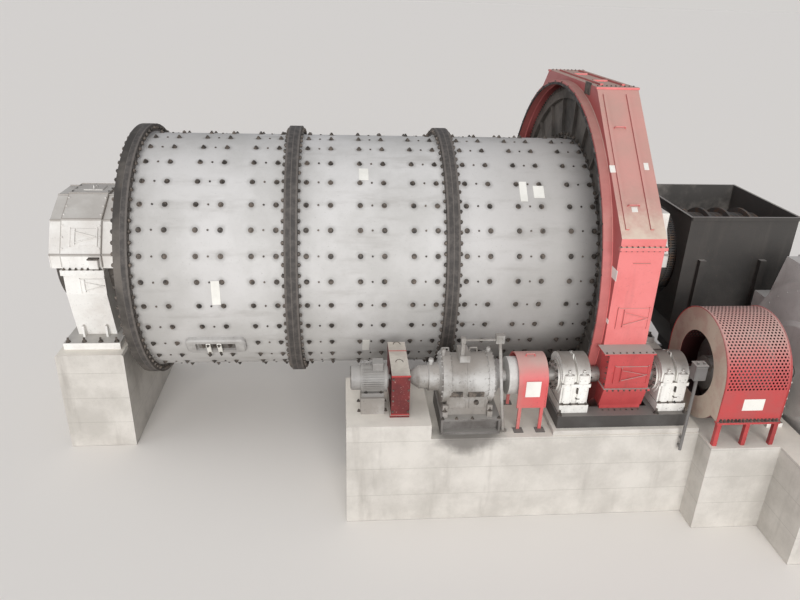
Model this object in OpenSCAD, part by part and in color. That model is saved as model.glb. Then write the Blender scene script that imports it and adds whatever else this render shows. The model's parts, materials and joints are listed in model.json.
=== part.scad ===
// Overflow ball mill with a girth gear, a pinion drive line and an inching drive.
// X runs along the drum from feed to discharge, Y away from the drive line, Z up from the floor.
// The origin is on the floor under the centre of the discharge bearing. Millimetres.

/* [Drum] */
// Height of the drum axis above the floor
axis_z = 4000; // [3950:10:4500]
// Inside diameter of the shell
shell_bore_d = 5000; // [4700:10:5100]
// Thickness of the shell plate
shell_plate = 65; // [40:5:80]
// Length of one of the three shell sections
section_len = 3143; // [2600:1:3600]
// How far the shell flanges stand out from the shell
flange_rise = 185; // [120:5:200]
// Thickness of one shell flange
flange_t = 130; // [80:5:150]

/* [Heads and trunnions] */
// Distance from the end flange of the shell to the centre of the bearing
bearing_offset = 1200; // [1150:10:1400]
// Thickness of the head plate
head_plate = 130; // [90:5:160]
// Axial rise of the conical head
head_cone = 240; // [150:10:300]
// Radius of the trunnion journal
journal_r = 1100; // [950:10:1150]
// Length of the trunnion journal
journal_len = 1040; // [960:10:1120]
// How far the journal collars stand out
collar_rise = 60; // [30:5:90]
// Thickness of the journal collars
collar_t = 70; // [40:5:100]
// Bore radius of the trunnions
trunnion_bore_r = 850; // [650:10:900]
// Wall of the feed spout liner
liner_wall = 40; // [20:5:60]
// Slack between the liner and the trunnion bore
liner_gap = 5; // [2:1:10]
// Length of the feed spout liner inside the trunnion
liner_len = 1250; // [900:10:1400]

/* [Main bearings] */
// Height of the pier tops above the floor
pier_top = 2300; // [2100:10:2400]
// Length of a pier along the drum
pier_len = 1400; // [1300:10:1440]
// Width of a pier across the drum
pier_w = 3700; // [3400:10:4200]
// Length of the bearing housing along the drum
bearing_len = 810; // [700:10:860]
// Half width of the bearing housing
bearing_half_w = 1390; // [1340:10:1500]
// Half width of the bearing housing where it stands on its plate
bearing_foot_half_w = 1150; // [1000:10:1300]
// Thickness of the bearing base plate
base_plate_t = 150; // [100:5:220]
// How far the base plate reaches past the housing
base_plate_edge = 180; // [100:5:200]
// Width of each seal box beside the bearing cap
seal_box_w = 230; // [180:5:240]
// How much smaller the seal boxes are than the cap
seal_box_step = 40; // [20:5:80]
// Height of the seal boxes' lower edge above the bearing joint
seal_box_lift = 70; // [40:5:150]
// Height of the bolted joint flange
joint_flange_h = 60; // [30:5:80]
// How far the joint flange stands out
joint_flange_out = 60; // [30:5:90]
// Running gap of journals and shafts in their seats
seat_gap = 0.3; // [0.2:0.05:1]

/* [Girth gear] */
// Module of the teeth
tooth_module = 36; // [34:1:36]
// Teeth on the girth gear
gear_teeth = 204; // [200:1:205]
// Teeth on the pinion
pinion_teeth = 17; // [17:1:19]
// Pressure angle of the teeth
pressure_angle = 20; // [18:0.5:25]
// Thinning of each tooth for backlash, at the pitch circle
tooth_thinning = 4; // [2:0.5:8]
// Face width of the girth gear
gear_face_w = 640; // [600:10:660]
// Rim thickness under the teeth
gear_rim_t = 180; // [120:10:240]
// Thickness of the gear web
gear_web_t = 100; // [60:5:120]
// Number of ribs on each side of the gear web
gear_rib_count = 24; // [12:1:36]
// Thickness of the gear ribs
gear_rib_t = 40; // [20:5:60]
// Gap between the shell and the gear's bolting ring
gear_ring_gap = 35; // [20:5:60]

/* [Gear guard] */
// Clear gap between the gear's teeth and the guard's flat sides
guard_clearance = 192; // [160:4:220]
// Reach of the guard from the gear's middle plane towards the feed end
guard_feed_reach = 420; // [400:1:450]
// Reach of the guard from the gear's middle plane towards the discharge end
guard_discharge_reach = 400; // [380:1:430]
// Thickness of the guard plates
guard_plate = 20; // [10:1:30]
// Clear gap between the teeth and the guard's seal ring
guard_seal_gap = 22; // [12:1:40]
// Radial width of the seal ring at the guard's round opening
seal_ring_w = 40; // [25:5:60]
// Thickness of the seal ring
seal_ring_t = 20; // [10:2:30]
// Depth of the rim round the opening
guard_rim_depth = 182; // [120:2:200]
// Width of the rim round the opening
guard_rim_w = 55; // [30:5:60]
// Height of the guard's bolted joint above the drum axis
guard_split = 1440; // [1300:10:1580]
// Gap between the shell flange and the guard's discharge side
guard_back_gap = 100; // [60:5:160]
// Width of the stiffening ribs on the guard
guard_rib_w = 60; // [40:5:100]
// Height of the stiffening ribs on the guard
guard_rib_h = 35; // [20:5:60]
// Half length of the ribs on the guard's slanted panels
guard_slope_rib_half = 1440; // [1300:10:1500]
// Half length of the ribs on the guard's top
guard_top_rib_half = 1350; // [1200:10:1450]

/* [Pinion] */
// Angle of the pinion below the horizontal
pinion_angle = 17; // [16:0.5:18]
// Face width of the pinion
pinion_face_w = 660; // [640:10:680]
// Radius of the pinion shaft
pinion_shaft_r = 150; // [120:5:165]
// Radius of the pinion shaft in its bearings
pinion_journal_r = 130; // [100:5:140]
// Distance from the gear's middle plane to the inner pinion bearing
inner_bearing_out = 960; // [940:10:1000]
// Distance from the gear's middle plane to the outer pinion bearing
outer_bearing_out = 950; // [920:10:980]
// Length of a pinion bearing
pinion_bearing_len = 560; // [520:10:570]
// Radius of a pinion bearing housing
pinion_bearing_r = 445; // [420:5:470]
// How far the sole plate reaches past the pinion bearings, front and back
sole_plate_edge = 135; // [110:5:160]
// Height of the sole plate
sole_plate_h = 260; // [220:10:300]
// Front of the pinion guard, measured from the pinion axis
pinion_guard_front = 446; // [430:2:470]
// Top of the pinion guard above the pinion axis
pinion_guard_top = 688; // [600:4:720]
// Bottom of the pinion guard below the pinion axis
pinion_guard_drop = 507; // [460:1:520]
// Half length of the pinion guard along the shaft
pinion_guard_half = 420; // [405:5:440]
// How far the pinion guard's lower front draws in
pinion_guard_draw = 130; // [60:10:140]

/* [Foundations of the drive] */
// Top of the concrete under the inching motor
inching_block_top = 2200; // [2000:10:2250]
// Feed end of the concrete under the inching drive
inching_block_x = -6450; // [-6700:10:-6300]
// Step in the concrete beside the reducer
block_step_x = -4880; // [-4950:10:-4800]
// Top of the concrete under the reducer and the pinion
pinion_block_top = 1900; // [1750:10:1950]
// Height of the pad under the pinion's sole plate
pinion_pad_h = 100; // [60:5:140]
// Front face of the drive's concrete
block_front_y = -4500; // [-4700:10:-4480]
// Back face of the drive's concrete
block_back_y = -2750; // [-2850:10:-2650]
// Joint between the pinion block and the motor block
motor_block_x = 300; // [250:10:380]
// Half width of the concrete under the clutch guard
clutch_block_half_w = 1190; // [1160:10:1250]
// Where the concrete widens for the motor
motor_wide_x = 1660; // [1640:10:1700]
// Clear gap between the concrete and the gear guard
pit_gap = 165; // [110:5:180]
// Clear gap between the concrete and the rim at the guard's feed side
pit_rim_gap = 40; // [25:5:60]

/* [Inching drive] */
// Discharge face of the coupling drum
coupling_end_x = -2770; // [-2800:10:-2750]
// Length of the coupling drum
coupling_len = 645; // [600:5:680]
// Radius of the coupling drum
coupling_r = 363; // [320:1:380]
// How far the coupling guard reaches back over the coupling drum
coupling_guard_lap = 490; // [450:5:520]
// Length of the coupling guard
coupling_guard_len = 560; // [520:5:580]
// Gap from the coupling drum to the outside of its guard
coupling_guard_gap = 90; // [60:5:120]
// Drop from the shaft to the lower edge of the coupling guard
coupling_guard_drop = 450; // [400:5:500]
// Length of the reducer's main body
reducer_body_len = 1104; // [1050:2:1150]
// Radius of the reducer's main body
reducer_r = 490; // [460:5:510]
// Length of the reducer's stepped nose
reducer_nose_len = 579; // [540:1:600]
// Bare length of the reducer's output shaft
reducer_shaft_len = 150; // [100:5:200]
// Distance from the shaft line to the lever post
lever_post_out = 472; // [460:2:490]
// Length of the lever post
lever_post_len = 2000; // [1950:10:2050]
// Width of the thin drive guard
drive_guard_w = 340; // [300:10:360]
// Height of the thin drive guard
drive_guard_h = 880; // [800:10:950]
// Gap between the reducer's nose and the thin drive guard
drive_guard_gap = 26; // [10:2:40]
// Length of the inching motor's frame
inching_motor_len = 690; // [640:10:720]
// Radius of the inching motor's frame
inching_motor_r = 262; // [240:2:280]

/* [Clutch guard] */
// Feed side of the clutch guard
clutch_guard_x = 330; // [310:5:360]
// Length of the clutch guard
clutch_guard_len = 1220; // [1200:10:1290]
// Radius of the clutch guard's arch
clutch_guard_r = 1080; // [1040:10:1120]
// Height of the arch's centre above the shaft
clutch_guard_rise = 235; // [200:5:280]
// Radius of the hole in the clutch guard's side
clutch_hole_r = 640; // [600:10:680]
// Height of the hole's centre above the shaft
clutch_hole_rise = 219; // [150:3:240]
// Thickness of the clutch guard's sheet
clutch_guard_sheet = 12; // [6:1:20]
// Radius of the clutch drum
clutch_drum_r = 740; // [600:10:760]
// How far the junction post reaches below the top of the concrete
junction_post_drop = 300; // [250:10:350]
// Lower side of the junction box above the shaft
junction_box_rise = 345; // [300:5:400]
// Drop from the shaft to the lower edge of the clutch guard
clutch_guard_drop = 422; // [380:2:460]

/* [Main motor] */
// Feed side of the motor's frame
motor_x = 2500; // [2450:10:2600]
// Length of the motor's frame
motor_len = 1400; // [1300:10:1500]
// Radius of the motor's end bells
motor_r = 1760; // [1700:5:1800]
// Radius at which the end bells turn in towards the shaft
motor_end_r = 1000; // [900:10:1200]
// Axial depth of the motor's end bells
motor_bell = 180; // [120:10:220]
// Height of the motor's flat top above the shaft
motor_top_h = 1943; // [1900:1:2000]
// Half width of the motor's flat top
motor_top_half = 1270; // [1150:10:1350]
// Half width of the motor's frame at the shaft
motor_half_w = 1810; // [1790:5:1830]
// Centre of the inner motor pedestal
motor_pedestal_x = 1900; // [1880:10:1960]
// Length of a motor pedestal bearing
motor_bearing_len = 320; // [280:10:360]
// Top of the concrete under the motor
motor_block_top = 1900; // [1750:10:1950]
// Gap between the motor and the sides of its pit
motor_pit_gap = 110; // [80:10:130]
// Back face of the concrete under the motor
motor_block_back_y = -1600; // [-1620:10:-1580]

/* [Discharge] */
// Feed side wall of the discharge hopper
hopper_x = 990; // [960:10:1060]
// Length of the discharge hopper
hopper_len = 2440; // [2400:10:2500]
// Half width of the discharge hopper
hopper_half_w = 1370; // [1300:10:1380]
// Rim of the hopper above the drum axis
hopper_rim = 1243; // [1150:1:1300]
// Depth of the hopper's straight walls
hopper_wall_h = 2540; // [2400:10:2600]
// Height of the hopper's tapered floor
hopper_taper_h = 1200; // [1000:10:1300]
// Half width of the hopper's outlet
outlet_half_w = 450; // [350:10:600]
// How far the hopper's rim stands out
hopper_rim_out = 40; // [20:5:60]
// Distance from the hopper's feed side to its first legs
hopper_leg_x = 335; // [250:5:450]
// Distance from the first legs to the second
hopper_leg_span = 1395; // [1200:5:1600]
// Width of a leg along the hopper
hopper_leg_w = 140; // [100:5:180]
// Top of the legs above the drum axis
hopper_leg_rise = 270; // [150:10:400]
// Thickness of the hopper's plates
hopper_plate = 16; // [10:1:25]
// Radius of the trommel screen
trommel_r = 900; // [840:10:910]
// How far the trommel rings stand out from the screen
trommel_ring_rise = 110; // [80:5:120]
// Width of a trommel ring
trommel_ring_w = 60; // [40:5:80]
// Distance from one trommel ring to the next
trommel_ring_step = 490; // [400:10:520]
// Length of the trommel screen
trommel_len = 2340; // [2200:10:2380]

/* [Manhole] */
// Length of the manhole cover along the shell
manhole_len = 720; // [600:10:800]
// Width of the manhole cover round the shell
manhole_w = 320; // [280:10:380]
// How far the manhole cover stands out from the shell
manhole_rise = 30; // [20:5:60]
// Angle of the manhole below the horizontal
manhole_angle = 29; // [27:1:31]

/* [Hidden] */

round_fn = 128;
over = 10;
seam = 0.3;

shell_r = shell_bore_d / 2 + shell_plate;
flange_r = shell_r + flange_rise;
discharge_flange_x = -bearing_offset;
feed_flange_x = discharge_flange_x - 3 * section_len;
feed_bearing_x = feed_flange_x - bearing_offset;

pitch_r = tooth_module * gear_teeth / 2;
pinion_pitch_r = tooth_module * pinion_teeth / 2;
tip_r = pitch_r + tooth_module;
root_r = pitch_r - 1.25 * tooth_module;
pinion_tip_r = pinion_pitch_r + tooth_module;
centre_distance = pitch_r + pinion_pitch_r;
gear_x = discharge_flange_x;
pinion_y = -centre_distance * cos(pinion_angle);
pinion_z = axis_z - centre_distance * sin(pinion_angle);

guard_apothem = tip_r + guard_clearance;
guard_x0 = gear_x - guard_feed_reach;
guard_x1 = gear_x + guard_discharge_reach;
seal_inner_r = tip_r + guard_seal_gap;
guard_open_r = seal_inner_r + seal_ring_w;
guard_back_r = flange_r + guard_back_gap;
pinion_guard_y0 = pinion_y - pinion_guard_front;
pinion_guard_z0 = pinion_z - pinion_guard_drop;
pinion_guard_z1 = pinion_z + pinion_guard_top;
inner_bearing_x = gear_x - inner_bearing_out;
outer_bearing_x = gear_x + outer_bearing_out;
pinion_pad_top = pinion_block_top + pinion_pad_h;
pit_x0 = guard_x0 - guard_rim_depth - seal_ring_t - pit_rim_gap;
pit_x1 = guard_x1 + pit_gap;
pit_front_y = -guard_apothem - pit_gap;

coupling_x = coupling_end_x - coupling_len;
reducer_x1 = coupling_x - reducer_shaft_len;
reducer_x0 = reducer_x1 - reducer_body_len;
reducer_nose_x = reducer_x0 - reducer_nose_len;
drive_guard_x1 = reducer_nose_x - drive_guard_gap;
drive_guard_x0 = drive_guard_x1 - drive_guard_w;
inching_motor_x1 = drive_guard_x0 - 50;
trunnion_seat_x = head_cone + head_plate;
clutch_guard_end = clutch_guard_x + clutch_guard_len;
motor_end = motor_x + motor_len;
hopper_end = hopper_x + hopper_len;
trommel_x = hopper_x - 60;

// A block given by its two opposite corners.
module block(low, high) {
    translate(low) cube(high - low);
}

// A shape drawn in the Y-Z plane and extruded along X.
module along_x(x0, x1) {
    translate([x0, 0, 0]) rotate([90, 0, 90]) linear_extrude(x1 - x0) children();
}

// A shape drawn in the Y-Z plane about the drum axis and extruded along X.
module about_drum(x0, x1) {
    translate([0, 0, axis_z]) along_x(x0, x1) children();
}

// A shape drawn in the Y-Z plane about the pinion axis and extruded along X.
module about_pinion(x0, x1) {
    translate([0, pinion_y, pinion_z]) along_x(x0, x1) children();
}

// A body of revolution about X, from points of radius and X.
module turned(points) {
    rotate([0, 90, 0]) rotate_extrude($fn = round_fn) polygon(points);
}

// A round bar along X about the drum axis.
module drum_bar(x0, x1, r) {
    about_drum(x0, x1) circle(r, $fn = round_fn);
}

// A round bar along X about the pinion axis.
module pinion_bar(x0, x1, r) {
    about_pinion(x0, x1) circle(r, $fn = 64);
}

// Involute of a base circle at a given roll angle in degrees.
function involute(base_r, roll) = let (s = roll * PI / 180)
    [base_r * (cos(roll) + s * sin(roll)), base_r * (sin(roll) - s * cos(roll))];

// Roll angle in degrees at which the involute reaches a radius.
function roll_at(base_r, r) = r > base_r ? sqrt(pow(r / base_r, 2) - 1) * 180 / PI : 0;

// Polar angle in degrees of the involute at a radius.
function flank_angle(base_r, r) = let (p = involute(base_r, roll_at(base_r, r))) atan2(p[1], p[0]);

// Half of the angle that a tooth fills at a radius.
function half_tooth(teeth, r) = let (
    pitch = tooth_module * teeth / 2,
    base_r = pitch * cos(pressure_angle),
    at_pitch = 90 / teeth - tooth_thinning / 2 / pitch * 180 / PI
) at_pitch + flank_angle(base_r, pitch) - flank_angle(base_r, max(r, base_r));

// Outline of a spur gear with involute flanks, with a tooth at angle zero.
function gear_outline(teeth, steps) = let (
    pitch = tooth_module * teeth / 2,
    inner = pitch - 1.25 * tooth_module,
    outer = pitch + tooth_module,
    radii = [for (i = [0:steps]) inner + (outer - inner) * i / steps]
) [
    for (t = [0:teeth - 1])
        for (side = [-1, 1])
            for (i = [0:steps])
                let (
                    r = side < 0 ? radii[i] : radii[steps - i],
                    a = 360 * t / teeth + side * half_tooth(teeth, r)
                ) [r * cos(a), r * sin(a)]
];

// A regular eight-sided outline with flat top and sides.
module octagon(apothem) {
    rotate(22.5) circle(apothem / cos(22.5), $fn = 8);
}

module feed_pier() {
    color("tan") pier(feed_bearing_x);
}

module discharge_pier() {
    color("tan") pier(0);
}

module pier(x) {
    difference() {
        block([x - pier_len / 2, -pier_w / 2, 0], [x + pier_len / 2, pier_w / 2, pier_top]);
        for (side = [-1, 1])
            translate([x + side * pier_len / 2, 0, pier_top]) rotate([0, 45, 0])
                cube([50, pier_w + over, 50], center = true);
    }
}

// Stepped concrete under the inching drive and the pinion, with the gear pit left open.
module drive_block() {
    pad_front = pinion_y - pinion_bearing_r - sole_plate_edge - 90;
    pad_back = pinion_y + pinion_bearing_r + sole_plate_edge + 90;
    color("tan") difference() {
        union() {
            block([inching_block_x, block_front_y, 0], [block_step_x, block_back_y, inching_block_top]);
            block([block_step_x, block_front_y, 0], [motor_block_x, block_back_y, pinion_block_top]);
            block([inner_bearing_x - 400, pad_front, 0], [motor_block_x, pad_back, pinion_pad_top]);
        }
        block([pit_x0, pit_front_y, -over], [pit_x1, 0, inching_block_top + over]);
    }
}

// Concrete under the main motor, with the pit for its frame.
module motor_block() {
    x1 = motor_end + motor_bell + motor_bearing_len + 400;
    pit_half = motor_half_w + motor_pit_gap;
    color("tan") difference() {
        union() {
            block([motor_wide_x, pinion_y - motor_half_w - 390, 0],
                  [x1, motor_block_back_y, motor_block_top]);
            block([motor_block_x, pinion_y - clutch_block_half_w, 0],
                  [motor_wide_x + over, pinion_y + clutch_block_half_w, motor_block_top]);
        }
        block([motor_x - motor_bell - 60, pinion_y - pit_half, 400],
              [motor_end + motor_bell + 60, pinion_y + pit_half, motor_block_top + over]);
    }
}

// Lower half of a trunnion bearing housing on its base plate.
module bearing_base(x) {
    plate_z = pier_top + base_plate_t;
    difference() {
        union() {
            along_x(x - bearing_len / 2, x + bearing_len / 2) polygon([
                [-bearing_foot_half_w, plate_z], [bearing_foot_half_w, plate_z],
                [bearing_half_w, axis_z - 500], [bearing_half_w, axis_z],
                [-bearing_half_w, axis_z], [-bearing_half_w, axis_z - 500]
            ]);
            block([x - bearing_len / 2 - base_plate_edge, -bearing_half_w - 200, pier_top],
                  [x + bearing_len / 2 + base_plate_edge, bearing_half_w + 200, plate_z]);
            joint_flange(x, axis_z - joint_flange_h);
            for (side = [-1, 1])
                for (rib_x = [-0.3, 0.3])
                    block([x + rib_x * bearing_len - 20, side * bearing_foot_half_w - 150, plate_z],
                          [x + rib_x * bearing_len + 20, side * bearing_foot_half_w + 150, plate_z + 260]);
        }
        drum_bar(x - bearing_len, x + bearing_len, journal_r + seat_gap);
    }
}

// The strips along both sides of a bearing at its joint, from a height upwards.
module joint_flange(x, z) {
    reach = (bearing_len + joint_flange_out) / 2;
    for (side = [-1, 1]) {
        inner = bearing_half_w - over;
        outer = bearing_half_w + joint_flange_out;
        block([x - reach, side < 0 ? -outer : inner, z],
              [x + reach, side < 0 ? -inner : outer, z + joint_flange_h]);
    }
}

// Upper half of a trunnion bearing housing with the seal boxes at both ends.
module bearing_cap(x) {
    half = bearing_len / 2;
    difference() {
        union() {
            intersection() {
                about_drum(x - half, x + half) cap_outline(bearing_half_w);
                block([x - half, -2 * bearing_half_w, axis_z], [x + half, 2 * bearing_half_w, 2 * axis_z]);
            }
            joint_flange(x, axis_z);
            for (side = [-1, 1])
                intersection() {
                    about_drum(x + side * (half + seal_box_w / 2) - seal_box_w / 2,
                               x + side * (half + seal_box_w / 2) + seal_box_w / 2)
                        cap_outline(bearing_half_w - seal_box_step);
                    block([x - 2 * bearing_len, -2 * bearing_half_w, axis_z + seal_box_lift],
                          [x + 2 * bearing_len, 2 * bearing_half_w, 2 * axis_z]);
                }
        }
        drum_bar(x - half - over, x + half + over, journal_r + seat_gap);
        for (side = [-1, 1])
            drum_bar(x + side * (half + seal_box_w) - seal_box_w,
                     x + side * (half + seal_box_w) + seal_box_w, journal_r + collar_rise + 40);
    }
}

// The twelve-sided outline of the bearing caps, with a flat top.
module cap_outline(apothem) {
    rotate(15) circle(apothem / cos(15), $fn = 12);
}

module feed_bearing_base() {
    color("ivory") bearing_base(feed_bearing_x);
}

module feed_bearing_cap() {
    color("ivory") bearing_cap(feed_bearing_x);
}

module discharge_bearing_base() {
    color("ivory") bearing_base(0);
}

module discharge_bearing_cap() {
    color("ivory") bearing_cap(0);
}

// One shell section: a rolled plate with a flange at each end.
module shell_section(x0) {
    x1 = x0 + section_len;
    bore = shell_bore_d / 2;
    translate([0, 0, axis_z]) turned([
        [bore, x0], [flange_r, x0], [flange_r, x0 + flange_t], [shell_r, x0 + flange_t],
        [shell_r, x1 - flange_t], [flange_r, x1 - flange_t], [flange_r, x1], [bore, x1]
    ]);
}

module shell_feed() {
    color("silver") difference() {
        shell_section(feed_flange_x);
        manhole_bar(shell_bore_d / 2 - 200, -seam);
    }
}

module shell_middle() {
    color("silver") shell_section(feed_flange_x + section_len);
}

module shell_discharge() {
    color("silver") shell_section(feed_flange_x + 2 * section_len);
}

// The oblong bar that cuts or fills the manhole, from a radius outwards.
module manhole_bar(r0, inset) {
    x = feed_flange_x + section_len * 0.49;
    translate([x, 0, axis_z]) rotate([90 + manhole_angle, 0, 0]) translate([0, 0, r0])
        linear_extrude(shell_r + manhole_rise - r0)
            square([manhole_len - 2 * inset, manhole_w - 2 * inset], center = true);
}

module manhole_cover() {
    color("gray") manhole_bar(shell_bore_d / 2, 0);
}

// A conical head plate. The side is -1 at the feed end and 1 at the discharge end.
module head(flange_x, side) {
    bore = shell_bore_d / 2;
    translate([flange_x, 0, axis_z]) mirror([side < 0 ? 1 : 0, 0, 0]) turned([
        [bore, 0], [flange_r, 0], [flange_r, flange_t], [shell_r, flange_t],
        [journal_r + 260, trunnion_seat_x], [journal_r, trunnion_seat_x], [journal_r, head_cone]
    ]);
}

// A hollow trunnion bolted to the head by its flange, with a collar at each end of the journal.
module trunnion(flange_x, side) {
    neck = bearing_offset - journal_len / 2 - collar_t;
    end = bearing_offset + journal_len / 2;
    collar_r = journal_r + collar_rise;
    translate([flange_x, 0, axis_z]) mirror([side < 0 ? 1 : 0, 0, 0]) turned([
        [trunnion_bore_r, trunnion_seat_x], [journal_r + 200, trunnion_seat_x],
        [journal_r + 200, trunnion_seat_x + 80], [collar_r, trunnion_seat_x + 100],
        [collar_r, neck + collar_t], [journal_r, neck + collar_t],
        [journal_r, end], [collar_r, end], [collar_r, end + collar_t], [trunnion_bore_r, end + collar_t]
    ]);
}

module feed_head() {
    color("gray") head(feed_flange_x, -1);
}

module feed_trunnion() {
    color("gray") trunnion(feed_flange_x, -1);
}

module discharge_head() {
    color("gray") head(discharge_flange_x, 1);
}

module discharge_trunnion() {
    color("gray") trunnion(discharge_flange_x, 1);
}

// Flanged liner that the feed spout enters.
module feed_spout_liner() {
    x0 = feed_bearing_x - journal_len / 2 - collar_t;
    r = trunnion_bore_r - liner_gap;
    color("dimgray") translate([0, 0, axis_z]) turned([
        [r - liner_wall, x0 - 50], [journal_r, x0 - 50], [journal_r, x0],
        [r, x0], [r, x0 + liner_len], [r - liner_wall, x0 + liner_len]
    ]);
}

// Spur ring gear bolted to the discharge flange of the shell.
module girth_gear() {
    rim_r = root_r - gear_rim_t;
    web_x1 = gear_x - flange_t;
    web_x0 = web_x1 - gear_web_t;
    ring_r = shell_r + gear_ring_gap;
    gear_x0 = gear_x - gear_face_w / 2;
    gear_x1 = gear_x + gear_face_w / 2;
    color("dimgray") {
        difference() {
            about_drum(gear_x0, gear_x1) rotate(180 + pinion_angle + 180 / gear_teeth)
                polygon(gear_outline(gear_teeth, 2));
            drum_bar(gear_x0 - over, gear_x1 + over, rim_r);
        }
        difference() {
            drum_bar(web_x0, web_x1, rim_r + 20);
            drum_bar(web_x0 - over, web_x1 + over, ring_r);
        }
        for (i = [0:gear_rib_count - 1])
            translate([0, 0, axis_z]) rotate([i * 360 / gear_rib_count + 3, 0, 0])
                union() {
                    block([web_x1 - 1, -gear_rib_t / 2, flange_r + 60],
                          [gear_x1 - 120, gear_rib_t / 2, rim_r + 20]);
                    block([gear_x0 + 20, -gear_rib_t / 2, ring_r + 120],
                          [web_x0 + 1, gear_rib_t / 2, rim_r + 20]);
                }
    }
}

// Screen drum that turns inside the discharge hopper.
module trommel() {
    flange_x0 = journal_len / 2 + collar_t;
    inner_r = trommel_r - 20;
    x_end = trommel_x + trommel_len;
    color("dimgray") {
        translate([0, 0, axis_z]) turned([
            [trunnion_bore_r - 60, flange_x0], [journal_r - 40, flange_x0], [journal_r - 40, flange_x0 + 80],
            [trommel_r, flange_x0 + 80], [trommel_r, x_end], [inner_r, x_end], [inner_r, flange_x0 + 160],
            [trunnion_bore_r - 60, flange_x0 + 40]
        ]);
        for (i = [0:3])
            translate([0, 0, axis_z]) turned(ring_profile(trommel_x + 530 + i * trommel_ring_step));
    }
}

// Radial section of a trommel ring that starts at x.
function ring_profile(x) = [
    [trommel_r - 1, x], [trommel_r + trommel_ring_rise, x],
    [trommel_r + trommel_ring_rise, x + trommel_ring_w], [trommel_r - 1, x + trommel_ring_w]
];

// The whole gear guard: an eight-sided case with a round opening at each side.
module gear_guard_case() {
    difference() {
        union() {
            about_drum(guard_x0, guard_x1) octagon(guard_apothem);
            about_drum(guard_x0 - guard_rim_depth, guard_x0 + 1)
                circle(guard_open_r + guard_rim_w, $fn = round_fn);
        }
        about_drum(guard_x0 + guard_plate, guard_x1 - guard_plate) octagon(guard_apothem - guard_plate);
        drum_bar(guard_x0 - guard_rim_depth - over, guard_x0 + guard_plate + over, guard_open_r);
        drum_bar(guard_x1 - guard_plate - over, guard_x1 + over, guard_back_r);
    }
}

module gear_guard_upper() {
    z = axis_z + guard_split;
    big = 2 * guard_apothem;
    color("indianred") {
        intersection() {
            gear_guard_case();
            block([guard_x0 - big, -big, z], [guard_x1 + big, big, z + big]);
        }
        guard_joint(z, z + 30);
        for (side = [-1, 1])
            for (x = [guard_x0 + 90, guard_x1 - 215 - guard_rib_w])
                translate([0, 0, axis_z]) rotate([side * 45, 0, 0])
                    block([x, -guard_slope_rib_half, guard_apothem - 1],
                          [x + guard_rib_w, guard_slope_rib_half, guard_apothem + guard_rib_h]);
        for (x = [guard_x0 + 160, guard_x1 - 160 - guard_rib_w])
            block([x, -guard_top_rib_half, axis_z + guard_apothem - 1],
                  [x + guard_rib_w, guard_top_rib_half, axis_z + guard_apothem + guard_rib_h]);
    }
}

// The bolting strips outside the guard at its joint.
module guard_joint(z0, z1) {
    for (side = [-1, 1])
        block([guard_x0 - 30, side * guard_apothem - (side < 0 ? 60 : over), z0],
              [guard_x1 + 30, side * guard_apothem + (side < 0 ? over : 60), z1]);
}

module gear_guard_lower() {
    z = axis_z + guard_split;
    big = 2 * guard_apothem;
    color("indianred") {
        difference() {
            gear_guard_case();
            block([guard_x0 - big, -big, z], [guard_x1 + big, big, z + big]);
            block([guard_x0 + guard_plate, -guard_apothem - over, pinion_guard_z0],
                  [guard_x1 - guard_plate, pinion_y, pinion_guard_z1 - guard_plate]);
            pinion_bar(guard_x0 - over, guard_x1 + over, pinion_shaft_r + 12);
        }
        guard_joint(z - 30, z);
        for (side = [-1, 1])
            block([guard_x0, side * 1200 - 150, 0],
                  [guard_x1, side * 1200 + 150, axis_z - guard_apothem + 1]);
    }
}

// Dark ring that closes the gap between the guard's opening and the gear rim.
module gear_guard_seal() {
    x0 = guard_x0 - guard_rim_depth;
    color("dimgray") difference() {
        drum_bar(x0 - seal_ring_t, x0, guard_open_r + 10);
        drum_bar(x0 - seal_ring_t - over, x0 + over, seal_inner_r);
    }
}

// The side outline of the pinion guard, drawn in by a plate thickness.
module pinion_guard_outline(t) {
    polygon([
        [pinion_guard_y0 + t, pinion_z - 77], [pinion_guard_y0 + t, pinion_guard_z1 - t],
        [pinion_y + 200, pinion_guard_z1 - t], [pinion_y + 200, pinion_guard_z0 + t],
        [pinion_guard_y0 + pinion_guard_draw + t, pinion_guard_z0 + t]
    ]);
}

// Red box round the front of the pinion, bolted to the gear guard.
module pinion_guard() {
    x0 = gear_x - pinion_guard_half;
    x1 = gear_x + pinion_guard_half;
    t = guard_plate;
    color("indianred") difference() {
        union() {
            along_x(x0, x1) pinion_guard_outline(0);
            block([x0 - 25, pinion_guard_y0 - 50, pinion_z - 97], [x1 + 25, -guard_apothem, pinion_z - 57]);
            block([x0 - 110, pinion_guard_y0 - 30, pinion_guard_z1 - 30],
                  [x1 + 30, -guard_apothem, pinion_guard_z1]);
            block([x0 + t, pinion_guard_y0 + pinion_guard_draw, pinion_foot_z() + seam],
                  [x1 - t, pinion_guard_y0 + pinion_guard_draw + 80, pinion_guard_z0 + t]);
        }
        along_x(x0 + t, x1 - t) pinion_guard_outline(t);
        about_drum(guard_x0 - over, guard_x1 + over) octagon(guard_apothem + seam);
        pinion_bar(x0 - 30, x1 + 30, pinion_shaft_r + 12);
        block([x0 + t, pinion_guard_y0 + t, pinion_z - 117], [x1 - t, -guard_apothem + over, pinion_z - 37]);
    }
}

// Pinion forged in one piece with its shaft.
module pinion() {
    x0 = coupling_end_x;
    x1 = clutch_guard_x + 200;
    color("silver") {
        about_pinion(gear_x - pinion_face_w / 2, gear_x + pinion_face_w / 2)
            rotate(pinion_angle) polygon(gear_outline(pinion_teeth, 4));
        pinion_bar(inner_bearing_x + pinion_bearing_len / 2 + 20,
                   outer_bearing_x - pinion_bearing_len / 2 - 20, pinion_shaft_r);
        pinion_bar(x0, x1, pinion_journal_r);
    }
}

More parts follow.
